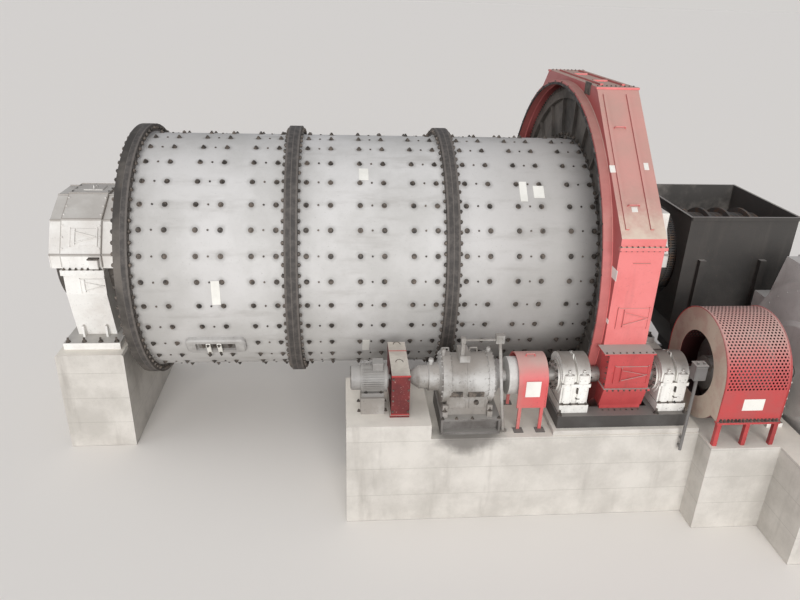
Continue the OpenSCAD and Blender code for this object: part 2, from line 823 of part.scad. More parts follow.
// Fabricated sole plate that carries both pinion bearings.
module pinion_sole_plate() {
    front = pinion_y - pinion_bearing_r - sole_plate_edge;
    back = pinion_y + pinion_bearing_r + sole_plate_edge;
    x0 = inner_bearing_x - pinion_bearing_len / 2 - 40;
    x1 = outer_bearing_x + pinion_bearing_len / 2 + 40;
    color("gray") difference() {
        block([x0, front, pinion_pad_top], [x1, back, pinion_foot_z()]);
        block([pit_x0, pit_front_y, pinion_pad_top - over], [pit_x1, back + over, pinion_foot_z() + over]);
    }
}

function pinion_foot_z() = pinion_pad_top + sole_plate_h;

// Split bearing housing of the pinion shaft, with two arched lobes.
module pinion_bearing(x) {
    half = pinion_bearing_len / 2;
    r = pinion_bearing_r;
    w = r - 56;
    foot = pinion_foot_z();
    color("ivory") difference() {
        union() {
            for (side = [-1, 1])
                intersection() {
                    pinion_bar(x + side * (half / 2 + 6) - half / 2 + 20,
                               x + side * (half / 2 + 6) + half / 2 - 20, r);
                    block([x - half, pinion_y - w, pinion_z], [x + half, pinion_y + w, pinion_z + r]);
                }
            intersection() {
                pinion_bar(x - half, x + half, r - 90);
                block([x - half, pinion_y - w, foot], [x + half, pinion_y + w, pinion_z + r]);
            }
            block([x - half + 14, pinion_y - w, foot], [x + half - 14, pinion_y + w, pinion_z]);
            block([x - half + 4, pinion_y - w - 50, pinion_z - 35],
                  [x + half - 4, pinion_y + w + 50, pinion_z + 35]);
            block([x - half, pinion_y - w - 70, foot], [x + half, pinion_y + w + 70, foot + 170]);
        }
        pinion_bar(x - half - over, x + half + over, pinion_journal_r + seat_gap);
    }
}

module pinion_bearing_inner() {
    pinion_bearing(inner_bearing_x);
}

module pinion_bearing_outer() {
    pinion_bearing(outer_bearing_x);
}

// Coupling between the pinion shaft and the inching reducer.
module coupling_drum() {
    color("gray") {
        pinion_bar(coupling_x, coupling_x + coupling_len * 0.6, coupling_r);
        pinion_bar(coupling_x + coupling_len * 0.6, coupling_end_x, coupling_r - 90);
    }
}

// Arched red guard over the coupling, on its own feet.
module coupling_guard() {
    x0 = coupling_end_x - coupling_guard_lap;
    x1 = x0 + coupling_guard_len;
    r = coupling_r + coupling_guard_gap;
    t = 15;
    skirt_z = pinion_z - coupling_guard_drop;
    color("indianred") {
        difference() {
            union() {
                pinion_bar(x0, x1, r);
                block([x0, pinion_y - r, skirt_z], [x1, pinion_y + r, pinion_z]);
            }
            pinion_bar(x0 - over, x1 + over, r - t);
            block([x0 - over, pinion_y - r + t, skirt_z - 100], [x1 + over, pinion_y + r - t, pinion_z]);
        }
        for (side = [-1, 1])
            for (x = [x0 + 40, x1 - 100])
                block([x, pinion_y + side * r - (side < 0 ? 0 : 40), pinion_block_top],
                      [x + 60, pinion_y + side * r + (side < 0 ? 40 : 0), skirt_z + 1]);
    }
}

// Stepped planetary reducer with its round nose towards the inching motor.
module inching_reducer() {
    x0 = reducer_x0;
    x1 = reducer_x1;
    r = reducer_r;
    foot_z = reducer_foot_z();
    color("gray") difference() {
        union() {
            translate([0, pinion_y, pinion_z]) turned([
                [0, drive_guard_x1], [90, drive_guard_x1], [90, reducer_nose_x], [110, reducer_nose_x],
                [224, reducer_nose_x + 164], [224, reducer_nose_x + 330], [270, reducer_nose_x + 340],
                [270, reducer_nose_x + 530], [r - 120, x0], [r, x0], [r, x0 + 150],
                [r - 40, x0 + 160], [r - 40, x0 + 440], [r - 30, x0 + 450], [r - 30, x1 - 260],
                [r, x1 - 250], [r, x1 - 155], [r - 60, x1 - 150], [250, x1], [110, x1],
                [110, coupling_x - 6], [0, coupling_x - 6]
            ]);
            block([x0 + 90, pinion_y - r + 95, foot_z], [x1 - 240, pinion_y + r - 95, pinion_z - 163]);
            for (x = [x0 + 10, x1 - 250])
                block([x, pinion_y - r, foot_z], [x + 95, pinion_y + r, foot_z + 120]);
        }
        block([x0 - over, pinion_y - 2 * r, 0], [x1 + over, pinion_y + 2 * r, foot_z]);
    }
}

function reducer_foot_z() = pinion_block_top + 330;

// Fabricated base under the reducer, open at the front and at the back.
module reducer_base() {
    foot_z = reducer_foot_z();
    y0 = pinion_y - reducer_r - 76;
    y1 = pinion_y + reducer_r + 76;
    x0 = reducer_x0 - 20;
    x1 = reducer_x1;
    color("gray") difference() {
        block([x0, y0, pinion_block_top], [x1, y1, foot_z]);
        for (side = [0, 1])
            block([x0 + 40, side == 0 ? y0 - over : y1 - 120, pinion_block_top + 40],
                  [x1 - 40, side == 0 ? y0 + 120 : y1 + over, foot_z - 40]);
    }
}

// Leaning post beside the coupling, with its clamp and the rod that reaches to the reducer's lever.
module lever_post() {
    x = coupling_x - 69;
    y = pinion_y - lever_post_out;
    lean = 6.6;
    tall = lever_post_len;
    top_x = x - tall * sin(lean);
    top_z = pinion_block_top + tall * cos(lean);
    lever_x = reducer_x0 + 330;
    seat_z = pinion_z + sqrt(pow(reducer_r - 40, 2) - pow(100, 2)) + seam;
    color("gray") {
        translate([x, y, pinion_block_top]) cylinder(h = 20, r = 75, $fn = 32);
        translate([x, y, pinion_block_top + 10]) rotate([0, -lean, 0])
            cylinder(h = tall - 10, r = 30, $fn = 32);
        block([top_x - 75, y - 60, top_z - 90], [top_x + 75, y + 60, top_z + 70]);
        block([lever_x - 70, y - 45, top_z - 85], [lever_x + 10, y + 45, top_z + 15]);
        block([lever_x, y - 15, top_z - 50], [top_x, y + 15, top_z - 20]);
        block([lever_x - 60, y - 30, top_z - 330], [lever_x, y + 30, top_z - 80]);
        block([lever_x - 75, y - 60, top_z - 460], [lever_x + 110, pinion_y - 100, top_z - 330]);
        block([lever_x - 40, pinion_y - 160, seat_z],
              [lever_x + 40, pinion_y - 100, top_z - 329]);
    }
}

// Tall box that covers the wheels of the inching drive, on a base strip.
module inching_drive_guard() {
    x0 = drive_guard_x0;
    x1 = drive_guard_x1;
    y0 = pinion_y - 386;
    y1 = pinion_y + 940;
    z0 = inching_block_top;
    color("indianred") {
        block([x0 - 25, y0 - 25, z0], [x1, y1 + 25, z0 + 40]);
        block([x0, y0, z0 + 39], [x1, y1, z0 + drive_guard_h]);
    }
}

// Foot-mounted motor of the inching drive.
module inching_motor() {
    x1 = inching_motor_x1;
    x0 = x1 - inching_motor_len;
    r = inching_motor_r;
    color("gray") {
        pinion_bar(x0, x0 + 180, r - 30);
        pinion_bar(x0 + 180, x1 - 60, r);
        pinion_bar(x1 - 60, x1, r - 60);
        pinion_bar(x1 - 10, drive_guard_x0, 45);
        block([x0 + 190, pinion_y - r + 10, pinion_z - r - 20],
              [x1 - 80, pinion_y + r - 10, pinion_z - r + 60]);
        block([x0 + 400, pinion_y - 160, pinion_z + r - 60], [x1 - 100, pinion_y + 60, pinion_z + r + 100]);
    }
}

module inching_motor_stand() {
    x1 = inching_motor_x1 - 70;
    x0 = inching_motor_x1 - inching_motor_len + 180;
    top = pinion_z - inching_motor_r - 20;
    color("lightgray") {
        block([x0, pinion_y - 300, top - 40], [x1, pinion_y + 300, top]);
        for (x = [x0, x1 - 240])
            block([x, pinion_y - 280, inching_block_top], [x + 240, pinion_y + 280, top - 40]);
    }
}

// Disc clutch between the pinion shaft and the main motor.
module clutch_drum() {
    x0 = clutch_guard_x + 200;
    x1 = clutch_guard_end - 120;
    color("dimgray") {
        pinion_bar(x0, x1, 330);
        pinion_bar(x0 + 260, x1 - 120, clutch_drum_r);
    }
}

// The outline of the clutch guard: an arch on straight sides.
module clutch_outline(r, drop) {
    translate([0, clutch_guard_rise]) circle(r, $fn = 128);
    translate([-r, -drop]) square([2 * r, drop + clutch_guard_rise]);
}

// Arched guard over the clutch, open below, with a round hole in each side.
module clutch_guard() {
    x0 = clutch_guard_x;
    x1 = clutch_guard_end;
    t = clutch_guard_sheet;
    r = clutch_guard_r;
    drop = clutch_guard_drop;
    color("indianred") difference() {
        about_pinion(x0, x1) clutch_outline(r, drop);
        about_pinion(x0 + t, x1 - t) clutch_outline(r - t, drop + over);
        about_pinion(x0 - over, x1 + over) translate([0, clutch_hole_rise]) circle(clutch_hole_r, $fn = 96);
    }
}

// Strips and legs under the two long sides of the clutch guard.
module clutch_guard_stand() {
    z1 = pinion_z - clutch_guard_drop;
    x0 = clutch_guard_x;
    x1 = clutch_guard_end;
    color("indianred") for (side = [-1, 1]) {
        y = pinion_y + side * (clutch_guard_r - 10);
        block([x0, y - 50, z1 - 40], [x1, y + 50, z1]);
        for (x = [x0 + 20, (x0 + x1) / 2 - 40, x1 - 100])
            block([x, y - 40, pinion_block_top], [x + 80, y + 40, z1 - 40]);
    }
}

// Small box on a post that is bracketed to the front of the concrete.
module junction_post() {
    x = -70;
    y = block_front_y - 100;
    low = pinion_block_top - junction_post_drop;
    top = pinion_z + junction_box_rise;
    color("gray") {
        translate([x, y, low]) cylinder(h = top - low, r = 30, $fn = 32);
        for (z = [low + 40, low + 220])
            block([x - 20, y, z], [x + 20, block_front_y, z + 40]);
        block([x - 110, y - 90, top], [x + 110, y + 90, top + 300]);
    }
}

// Shaft of the main motor, from the clutch to the far pedestal.
module motor_shaft() {
    x0 = clutch_guard_end - 120;
    x1 = motor_end + motor_bell + motor_bearing_len + 100;
    color("silver") pinion_bar(x0, x1, pinion_journal_r);
}

// Slow-running main motor: two round end bells and a many-sided frame between them.
module main_motor() {
    x0 = motor_x;
    x1 = motor_end;
    color("gray") difference() {
        union() {
            translate([0, pinion_y, pinion_z]) turned([
                [0, x0 - motor_bell], [motor_end_r - 100, x0 - motor_bell],
                [motor_end_r, x0 - motor_bell + 60],
                [motor_r - 130, x0 - 40], [motor_r, x0 - 40], [motor_r, x0 + 40], [motor_end_r, x0 + 40],
                [motor_end_r, x1 - 40], [motor_r, x1 - 40], [motor_r, x1 + 40], [motor_r - 130, x1 + 40],
                [motor_end_r, x1 + motor_bell - 60], [motor_end_r - 100, x1 + motor_bell],
                [0, x1 + motor_bell]
            ]);
            about_pinion(x0 + 30, x1 - 30) polygon([
                [-motor_top_half, motor_top_h], [motor_top_half, motor_top_h],
                [motor_half_w - 208, 667], [motor_half_w, -132], [motor_half_w, -800],
                [motor_top_half, -1500], [-motor_top_half, -1500],
                [-motor_half_w, -800], [-motor_half_w, -132], [-motor_half_w + 208, 667]
            ]);
            for (side = [-1, 1])
                block([x0 + 120, pinion_y + side * (motor_half_w + 90) - 200, motor_block_top],
                      [x1 - 120, pinion_y + side * (motor_half_w + 90) + 200, motor_block_top + 300]);
            block([x0 + 100, pinion_y + motor_half_w - 310, pinion_z + 453],
                  [x0 + 500, pinion_y + motor_half_w + 285, pinion_z + 833]);
        }
        pinion_bar(x0 - motor_bell - over, x1 + motor_bell + over, pinion_journal_r + 20);
    }
}

module motor_pedestal(x) {
    half = motor_bearing_len / 2;
    r = pinion_bearing_r;
    color("ivory") difference() {
        union() {
            pinion_bar(x - half + 20, x + half - 20, r);
            block([x - half + 20, pinion_y - r, motor_block_top], [x + half - 20, pinion_y + r, pinion_z]);
            block([x - half, pinion_y - r - 120, motor_block_top],
                  [x + half, pinion_y + r + 120, motor_block_top + 90]);
        }
        pinion_bar(x - half - over, x + half + over, pinion_journal_r + seat_gap);
    }
}

module motor_bearing_inner() {
    motor_pedestal(motor_pedestal_x);
}

module motor_bearing_outer() {
    motor_pedestal(motor_end + motor_bell + motor_bearing_len / 2 + 80);
}

// The outer form of the hopper, drawn in by a plate thickness.
module hopper_form(inset) {
    z1 = axis_z + hopper_rim;
    z0 = z1 - hopper_wall_h;
    xm = (hopper_x + hopper_end) / 2;
    top = [hopper_len - 2 * inset, 2 * (hopper_half_w - inset)];
    low = 2 * (outlet_half_w - inset);
    translate([xm, 0, z0]) linear_extrude(hopper_wall_h + (inset > 0 ? over : 0)) square(top, center = true);
    hull() {
        translate([xm, 0, z0]) linear_extrude(1) square(top, center = true);
        translate([xm, 0, z0 - hopper_taper_h]) linear_extrude(1) square([low, low], center = true);
    }
    translate([xm, 0, z0 - hopper_taper_h - 200 - inset]) linear_extrude(201 + inset)
        square([low, low], center = true);
}

// Open-topped hopper that the trommel empties into.
module hopper() {
    z1 = axis_z + hopper_rim;
    color("dimgray") difference() {
        hopper_form(0);
        hopper_form(hopper_plate);
        drum_bar(hopper_x - over, hopper_x + hopper_plate + over, trommel_r + trommel_ring_rise + 50);
    }
    color("dimgray") difference() {
        block([hopper_x - hopper_rim_out, -hopper_half_w - hopper_rim_out, z1 - 16],
              [hopper_end + hopper_rim_out, hopper_half_w + hopper_rim_out, z1]);
        block([hopper_x + hopper_plate, -hopper_half_w + hopper_plate, z1 - 16 - over],
              [hopper_end - hopper_plate, hopper_half_w - hopper_plate, z1 + over]);
    }
}

// Four legs on the hopper's long sides, tied together under it.
module hopper_stand() {
    top = axis_z + hopper_leg_rise;
    xs = [hopper_x + hopper_leg_x, hopper_x + hopper_leg_x + hopper_leg_span];
    color("dimgray") {
        for (side = [-1, 1])
            for (x = xs)
                block([x, side * (hopper_half_w + 60) - 60, 0],
                      [x + hopper_leg_w, side * (hopper_half_w + 60) + 60, top]);
        for (side = [-1, 1])
            block([xs[0] + hopper_leg_w, side * (hopper_half_w + 60) - 50, 500],
                  [xs[1], side * (hopper_half_w + 60) + 50, 620]);
        for (x = xs)
            block([x + 20, -hopper_half_w, 500], [x + hopper_leg_w - 20, hopper_half_w, 620]);
    }
}

feed_pier();
discharge_pier();
drive_block();
motor_block();
feed_bearing_base();
feed_bearing_cap();
discharge_bearing_base();
discharge_bearing_cap();
shell_feed();
shell_middle();
shell_discharge();
feed_head();
feed_trunnion();
discharge_head();
discharge_trunnion();
feed_spout_liner();
girth_gear();
manhole_cover();
trommel();
gear_guard_upper();
gear_guard_lower();
gear_guard_seal();
pinion_guard();
pinion();
pinion_sole_plate();
pinion_bearing_inner();
pinion_bearing_outer();
coupling_drum();
coupling_guard();
inching_reducer();
reducer_base();
lever_post();
inching_drive_guard();
inching_motor();
inching_motor_stand();
clutch_drum();
clutch_guard();
clutch_guard_stand();
junction_post();
motor_shaft();
main_motor();
motor_bearing_inner();
motor_bearing_outer();
hopper();
hopper_stand();
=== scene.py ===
import json
from math import cos, pi, radians, sin

import bmesh
import bpy
from mathutils import Matrix, Vector


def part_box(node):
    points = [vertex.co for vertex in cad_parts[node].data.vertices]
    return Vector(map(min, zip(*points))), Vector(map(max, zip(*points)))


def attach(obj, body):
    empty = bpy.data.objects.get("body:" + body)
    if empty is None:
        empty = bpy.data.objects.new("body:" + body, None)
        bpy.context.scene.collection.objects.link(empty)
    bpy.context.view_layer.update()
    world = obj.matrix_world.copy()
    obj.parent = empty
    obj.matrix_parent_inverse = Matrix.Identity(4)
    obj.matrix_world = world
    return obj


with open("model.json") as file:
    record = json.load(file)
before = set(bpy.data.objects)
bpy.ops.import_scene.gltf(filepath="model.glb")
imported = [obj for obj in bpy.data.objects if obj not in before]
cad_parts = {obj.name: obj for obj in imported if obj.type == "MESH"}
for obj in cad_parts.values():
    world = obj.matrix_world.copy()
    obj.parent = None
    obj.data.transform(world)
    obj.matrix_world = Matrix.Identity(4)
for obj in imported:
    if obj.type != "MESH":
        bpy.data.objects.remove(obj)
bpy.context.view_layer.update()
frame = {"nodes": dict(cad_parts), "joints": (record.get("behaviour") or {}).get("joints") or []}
nodes = frame["nodes"]

# The view: a camera high beside the drive line, looking down on the mill,
# with broad soft light from the windows in front and a plain pale floor.

camera_data = bpy.data.cameras.new("view")
camera_data.lens = 30.395
camera_data.sensor_width = 36.0
camera_data.clip_end = 3000.0
camera = bpy.data.objects.new("view", camera_data)
camera.location = (-6.4963, -14.7655, 9.3956)
camera.rotation_euler = (1.146463, -0.029711, -0.079020)
bpy.context.scene.collection.objects.link(camera)
bpy.context.scene.camera = camera
bpy.context.scene.view_settings.view_transform = "Standard"


def tone(red, green, blue):
    """A screen colour from 0 to 1 as the linear colour that the shader takes."""
    screen = (red, green, blue)
    linear = [c / 12.92 if c <= 0.04045 else ((c + 0.055) / 1.055) ** 2.4 for c in screen]
    return (*linear, 1.0)


class Wire:
    """One socket of a finish, so that sums on it are written as sums."""

    def __init__(self, finish, socket):
        self.finish = finish
        self.socket = socket

    def sum_of(self, operation, *values):
        return self.finish.node("ShaderNodeMath", {"operation": operation}, dict(enumerate(values)))

    def __add__(self, other):
        return self.sum_of("ADD", self, other)

    def __radd__(self, other):
        return self.sum_of("ADD", other, self)

    def __sub__(self, other):
        return self.sum_of("SUBTRACT", self, other)

    def __rsub__(self, other):
        return self.sum_of("SUBTRACT", other, self)

    def __mul__(self, other):
        return self.sum_of("MULTIPLY", self, other)

    def __rmul__(self, other):
        return self.sum_of("MULTIPLY", other, self)

    def __truediv__(self, other):
        return self.sum_of("DIVIDE", self, other)

    def __abs__(self):
        return self.sum_of("ABSOLUTE", self)

    def off_centre(self):
        """Distance to the nearest whole number, from 0 to 0.5."""
        return abs(self - self.sum_of("ROUND", self))

    def length_with(self, other):
        return self.sum_of("SQRT", self * self + other * other)

    def turn_from(self, other):
        """The angle whose tangent is this socket over the other one."""
        return self.sum_of("ARCTAN2", self, other)

    def larger(self, other):
        return self.sum_of("MAXIMUM", self, other)

    def smaller(self, other):
        return self.sum_of("MINIMUM", self, other)

    def band(self, low, high):
        """0 below low, 1 above high, and smooth between them."""
        settings = {"interpolation_type": "SMOOTHSTEP"}
        values = {"Value": self, "From Min": low, "From Max": high}
        return self.finish.node("ShaderNodeMapRange", settings, values)

    def fade(self, low, high):
        """1 below low, 0 above high, and smooth between them."""
        return 1.0 - self.band(low, high)

    def between(self, low, high, soft):
        """1 from low to high and 0 outside them, smooth over a short way inside each."""
        return self.band(low, low + soft) * self.fade(high - soft, high)


class Finish:
    """A paint or metal made of shader nodes on the object's own coordinates."""

    def __init__(self, name):
        self.material = bpy.data.materials.new(name)
        self.material.use_nodes = True
        self.tree = self.material.node_tree
        self.shader = self.tree.nodes["Principled BSDF"]
        self.place = self.node("ShaderNodeTexCoord", {}, {}, "Object")
        self.x, self.y, self.z = (self.part_of(self.place, axis) for axis in "XYZ")

    def node(self, kind, settings, values, out=0):
        made = self.tree.nodes.new(kind)
        for key, value in settings.items():
            setattr(made, key, value)
        self.feed(made.inputs, values)
        return Wire(self, made.outputs[out])

    def feed(self, sockets, values):
        for key, value in values.items():
            if isinstance(value, Wire):
                self.tree.links.new(value.socket, sockets[key])
            else:
                sockets[key].default_value = value

    def shade(self, values):
        self.feed(self.shader.inputs, values)

    def part_of(self, vector, axis):
        return self.node("ShaderNodeSeparateXYZ", {}, {0: vector}, axis)

    def normal(self, axis):
        return self.part_of(self.node("ShaderNodeNewGeometry", {}, {}, "Normal"), axis)

    def facing_up(self):
        """1 where the surface faces up, 0 where it is upright or faces down."""
        return self.normal("Z").band(0.25, 0.95)

    def noise(self, scale, detail=4.0, rough=0.6, stretch=(1.0, 1.0, 1.0)):
        place = self.node("ShaderNodeMapping", {}, {"Vector": self.place, "Scale": stretch})
        values = {"Vector": place, "Scale": scale, "Detail": detail, "Roughness": rough}
        return self.node("ShaderNodeTexNoise", {}, values)

    def mix(self, first, second, share):
        """A blend of two coats, each a screen colour or a wire, by the share of the second."""
        first, second = (c if isinstance(c, Wire) else tone(*c) for c in (first, second))
        return self.node("ShaderNodeMix", {"data_type": "RGBA"}, {0: share, 6: first, 7: second}, 2)

    def layers(self, coat, *later):
        """A coat with each later colour laid over it in turn, by its share."""
        for colour, share in later:
            coat = self.mix(coat, colour, share)
        return coat

    def bump(self, height, depth, strength=1.0):
        values = {"Strength": strength, "Distance": depth, "Height": height}
        return self.node("ShaderNodeBump", {}, values)

    def cover(self, *names):
        for name in names:
            slots = nodes[name].data.materials
            slots.clear()
            slots.append(self.material)


floor_reach = 1400.0
floor_finish = Finish("pale_floor")
floor_finish.shade({"Base Color": tone(0.90, 0.88, 0.855), "Roughness": 0.95})
floor_form = bmesh.new()
bmesh.ops.create_grid(floor_form, x_segments=1, y_segments=1, size=floor_reach)
bmesh.ops.translate(floor_form, vec=(-3.0, 0.0, -0.002), verts=floor_form.verts)
floor_mesh = bpy.data.meshes.new("pale_floor")
floor_form.to_mesh(floor_mesh)
floor_mesh.materials.append(floor_finish.material)
floor = bpy.data.objects.new("pale_floor", floor_mesh)
bpy.context.scene.collection.objects.link(floor)

world = bpy.data.worlds.new("hall_light")
world.use_nodes = True
world_nodes = world.node_tree.nodes
world_links = world.node_tree.links
sky = world_nodes["Background"]
sky.inputs["Color"].default_value = (0.90, 0.93, 1.0, 1.0)
sky.inputs["Strength"].default_value = 0.42
wall = world_nodes.new("ShaderNodeBackground")
wall.inputs["Color"].default_value = tone(0.827, 0.8165, 0.806)
rays = world_nodes.new("ShaderNodeLightPath")
chosen = world_nodes.new("ShaderNodeMixShader")
world_links.new(rays.outputs["Is Camera Ray"], chosen.inputs[0])
world_links.new(sky.outputs[0], chosen.inputs[1])
world_links.new(wall.outputs[0], chosen.inputs[2])
world_links.new(chosen.outputs[0], world_nodes["World Output"].inputs["Surface"])
bpy.context.scene.world = world


def far_light(name, direction, power, spread):
    """An even light from far away, softened by its spread in degrees."""
    lamp = bpy.data.lights.new(name, "SUN")
    lamp.energy = power
    lamp.angle = radians(spread)
    made = bpy.data.objects.new(name, lamp)
    made.rotation_euler = Vector(direction).to_track_quat("-Z", "Y").to_euler()
    bpy.context.scene.collection.objects.link(made)


far_light("front_windows", (0.02, 0.95, -0.32), 2.45, 40.0)
far_light("roof_lights", (0.25, 0.0, -1.0), 0.50, 60.0)
far_light("end_windows", (0.95, 0.20, -0.30), 0.50, 60.0)

# The concrete: two piers under the bearings and two blocks under the drive, cast
# in board forms, rubbed pale on top, with old oil where the reducer stands.

board_rise = 0.62
oil_at = Vector((-4.10, -4.30, 1.95))
oil_reach = Vector((0.75, 0.5, 0.42))
cast_concrete = Finish("cast_concrete")
patches = cast_concrete.noise(0.9, 6.0, 0.65)
grit = cast_concrete.noise(38.0, 4.0, 0.7)
boards = (cast_concrete.z / board_rise).off_centre().fade(0.0, 0.012)
runs = cast_concrete.noise(2.2, 5.0, 0.6, (1.0, 1.0, 0.16)).band(0.52, 0.75)
oil_x = abs(cast_concrete.x - oil_at.x) / oil_reach.x
oil_y = abs(cast_concrete.y - oil_at.y) / oil_reach.y
oil_z = abs(cast_concrete.z - oil_at.z) / oil_reach.z
oil_patch = (oil_x.length_with(oil_z.length_with(oil_y)) + 1.1 * patches).fade(1.15, 1.75)
rubbed = cast_concrete.facing_up() * (0.35 + 0.6 * patches)
plain = cast_concrete.mix((0.71, 0.69, 0.66), (0.80, 0.78, 0.75), patches.band(0.32, 0.66))
cast_concrete.shade({
    "Base Color": cast_concrete.layers(
        plain, ((0.52, 0.49, 0.45), grit.band(0.55, 0.8) * 0.35), ((0.50, 0.47, 0.44), runs * 0.4),
        ((0.50, 0.48, 0.45), boards * 0.5), ((0.92, 0.89, 0.84), rubbed),
        ((0.26, 0.24, 0.225), oil_patch * 0.7)),
    "Roughness": 0.92 - 0.35 * oil_patch,
    "Normal": cast_concrete.bump(0.5 * grit - 0.4 * boards + 0.4 * patches, 0.006, 0.8),
})
cast_concrete.cover("feed_pier", "discharge_pier", "drive_block", "motor_block")

# The main bearings: cast housings with a bent-plate cap and seal boxes, painted
# cream and greyed by dust. The joint is bolted, and each half has a bolted door.

axes = {joint["name"]: joint["pos_m"] for joint in frame["joints"]}
axis_z = axes["drum_spin"][2]
bearing_bases = [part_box(name) for name in ("feed_bearing_base", "discharge_bearing_base")]
bearing_xs = [(low.x + high.x) / 2 for low, high in bearing_bases]
foot_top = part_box("feed_pier")[1].z + 0.15
cap_r = 1.391
cap_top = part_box("feed_bearing_cap")[1].z
seal_box_out = 0.405
grime = (0.27, 0.25, 0.23)
dust = (0.63, 0.61, 0.585)


def weathered(name, paint, worn, settled, spots=0.4, gloss=0.45, fallen=dust, heavier=None):
    """A painted finish with cloudy wear, dark specks and runs, and dust on what faces up.

    Settled and spots say how thick the dust and the specks lie, and fallen is the dust's
    colour. Heavier may be a function that gives the share of dust in one more place.
    """
    finish = Finish(name)
    cloud = finish.noise(1.1, 6.0, 0.62)
    grit = finish.noise(26.0, 4.0, 0.65)
    runs = finish.noise(4.5, 5.0, 0.6, (1.0, 1.0, 0.14))
    layer = finish.facing_up() * settled
    if heavier is not None:
        layer = layer.larger(heavier(finish))
    layer = layer * (0.55 + 0.75 * cloud)
    marks = (grit.band(0.58, 0.74) + runs.band(0.55, 0.78) * 0.6).smaller(1.0) * spots
    finish.coat = finish.layers(paint, (worn, cloud.band(0.38, 0.64)), (grime, marks), (fallen, layer))
    finish.shade({
        "Base Color": finish.coat,
        "Roughness": gloss + 0.35 * layer.larger(marks),
        "Normal": finish.bump(0.5 * grit + 0.5 * cloud + 0.6 * layer, 0.004, 0.5),
    })
    return finish


bearing_paint = weathered("bearing_paint", (0.91, 0.90, 0.88), (0.84, 0.82, 0.795), 0.9, 0.3)
# The cap's creases and the joints beside its seal boxes are darkened: painted shade that falls there, with
# dirt.
cap_height = bearing_paint.z - axis_z
cap_turn = abs(bearing_paint.y).turn_from(cap_height)
crease_gap = ((cap_turn - radians(15.0)) / radians(30.0)).off_centre()
off_bearing = abs(bearing_paint.x - bearing_xs[0]).smaller(abs(bearing_paint.x))
off_seal_box = abs(off_bearing - seal_box_out)
cap_crease_shade_and_dirt = crease_gap.fade(0.022, 0.05).larger(off_seal_box.fade(0.012, 0.022))
cap_crease_shade_and_dirt = cap_crease_shade_and_dirt * cap_height.band(0.09, 0.12) * 0.6
cap_coat = bearing_paint.mix(bearing_paint.coat, (0.44, 0.40, 0.36), cap_crease_shade_and_dirt)
bearing_paint.shade({"Base Color": cap_coat})
bearing_paint.cover(
    "feed_bearing_base", "feed_bearing_cap", "discharge_bearing_base", "discharge_bearing_cap")

oily_steel = Finish("oily_steel")
oily_spots = oily_steel.noise(9.0, 5.0, 0.65)
oily_steel.shade({
    "Base Color": oily_steel.mix((0.25, 0.235, 0.22), (0.46, 0.42, 0.385), oily_spots.band(0.38, 0.66)),
    "Roughness": 0.45 + 0.35 * oily_spots,
    "Metallic": 0.35,
    "Normal": oily_steel.bump(oily_spots, 0.003, 0.5),
})


def slab(form, corner, opposite, soft=0.0, turn=None):
    """Adds a block between two corners, turned by its place, with softened edges."""
    spans = [sorted(pair) for pair in zip(corner, opposite)]
    made = bmesh.ops.create_cube(form, size=1.0)["verts"]
    bmesh.ops.scale(form, vec=[high - low for low, high in spans], verts=made)
    bmesh.ops.translate(form, vec=[(high + low) / 2 for low, high in spans], verts=made)
    if turn is not None:
        bmesh.ops.transform(form, matrix=turn, verts=made)
    if soft:
        edges = list({e for v in made for e in v.link_edges})
        bmesh.ops.bevel(form, geom=edges, offset=soft, segments=1, profile=0.5, affect="EDGES",
                        material=-1)


def rod(form, start, end, radius, sides=12, far_radius=None):
    """Adds a round bar between two points."""
    start, end = Vector(start), Vector(end)
    run = end - start
    place = Matrix.Translation((start + end) / 2) @ run.to_track_quat("Z", "Y").to_matrix().to_4x4()
    far = radius if far_radius is None else far_radius
    bmesh.ops.create_cone(form, cap_ends=True, segments=sides, radius1=radius, radius2=far,
                          depth=run.length, matrix=place)


def bent_bar(form, points, radius, sides=6):
    """Adds a round bar that runs through all the points."""
    for start, end in zip(points, points[1:]):
        rod(form, start, end, radius, sides)


def piece(name, form, body, finish, sharp=35.0):
    """Makes an object of a form, gives it its finish and lets it ride on a body."""
    bmesh.ops.recalc_face_normals(form, faces=form.faces)
    mesh = bpy.data.meshes.new(name)
    form.to_mesh(mesh)
    form.free()
    mesh.shade_smooth()
    mesh.set_sharp_from_angle(angle=radians(sharp))
    mesh.materials.append(finish.material)
    made = bpy.data.objects.new(name, mesh)
    bpy.context.scene.collection.objects.link(made)
    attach(made, body)


def steel_piece(name, form, body="fixed"):
    """Makes a piece of bare steel under oil and dust."""
    piece(name, form, body, oily_steel)


def bolt_form(nut, height, washer=0.0, stud=0.0, rise=0.0):
    """A washer, a six-sided nut and the end of its stud, standing along Z."""
    form = bmesh.new()
    if washer:
        rod(form, (0, 0, 0), (0, 0, 0.25 * height), washer, 12, washer * 0.9)
    rod(form, (0, 0, 0.2 * height), (0, 0, height), nut, 6, nut * 0.94)
    if stud:
        rod(form, (0, 0, height), (0, 0, height + rise), stud, 8)
    mesh = bpy.data.meshes.new("bolt_pattern")
    form.to_mesh(mesh)
    form.free()
    return mesh


def stamp(form, mesh, places):
    """Adds a copy of a mesh to a form at each place."""
    for place in places:
        copy = mesh.copy()
        copy.transform(place)
        form.from_mesh(copy)
        bpy.data.meshes.remove(copy)


def aim(point, normal, up=(0.0, 0.0, 1.0)):
    """The place at a point whose Z axis is the normal and whose Y axis points up along the face."""
    normal = Vector(normal).normalized()
    up = Vector(up) - Vector(up).dot(normal) * normal
    up = up.normalized() if up.length > 0.01 else Vector((0.0, 1.0, 0.0))
    turn = Matrix((up.cross(normal), up, normal)).transposed().to_4x4()
    return Matrix.Translation(point) @ turn


def at(x, y, z):
    """The place at a point, unturned."""
    return Matrix.Translation((x, y, z))


def along(start, end, count):
    """Evenly spaced points from start to end."""
    return [Vector(start).lerp(Vector(end), step / (count - 1)) for step in range(count)]


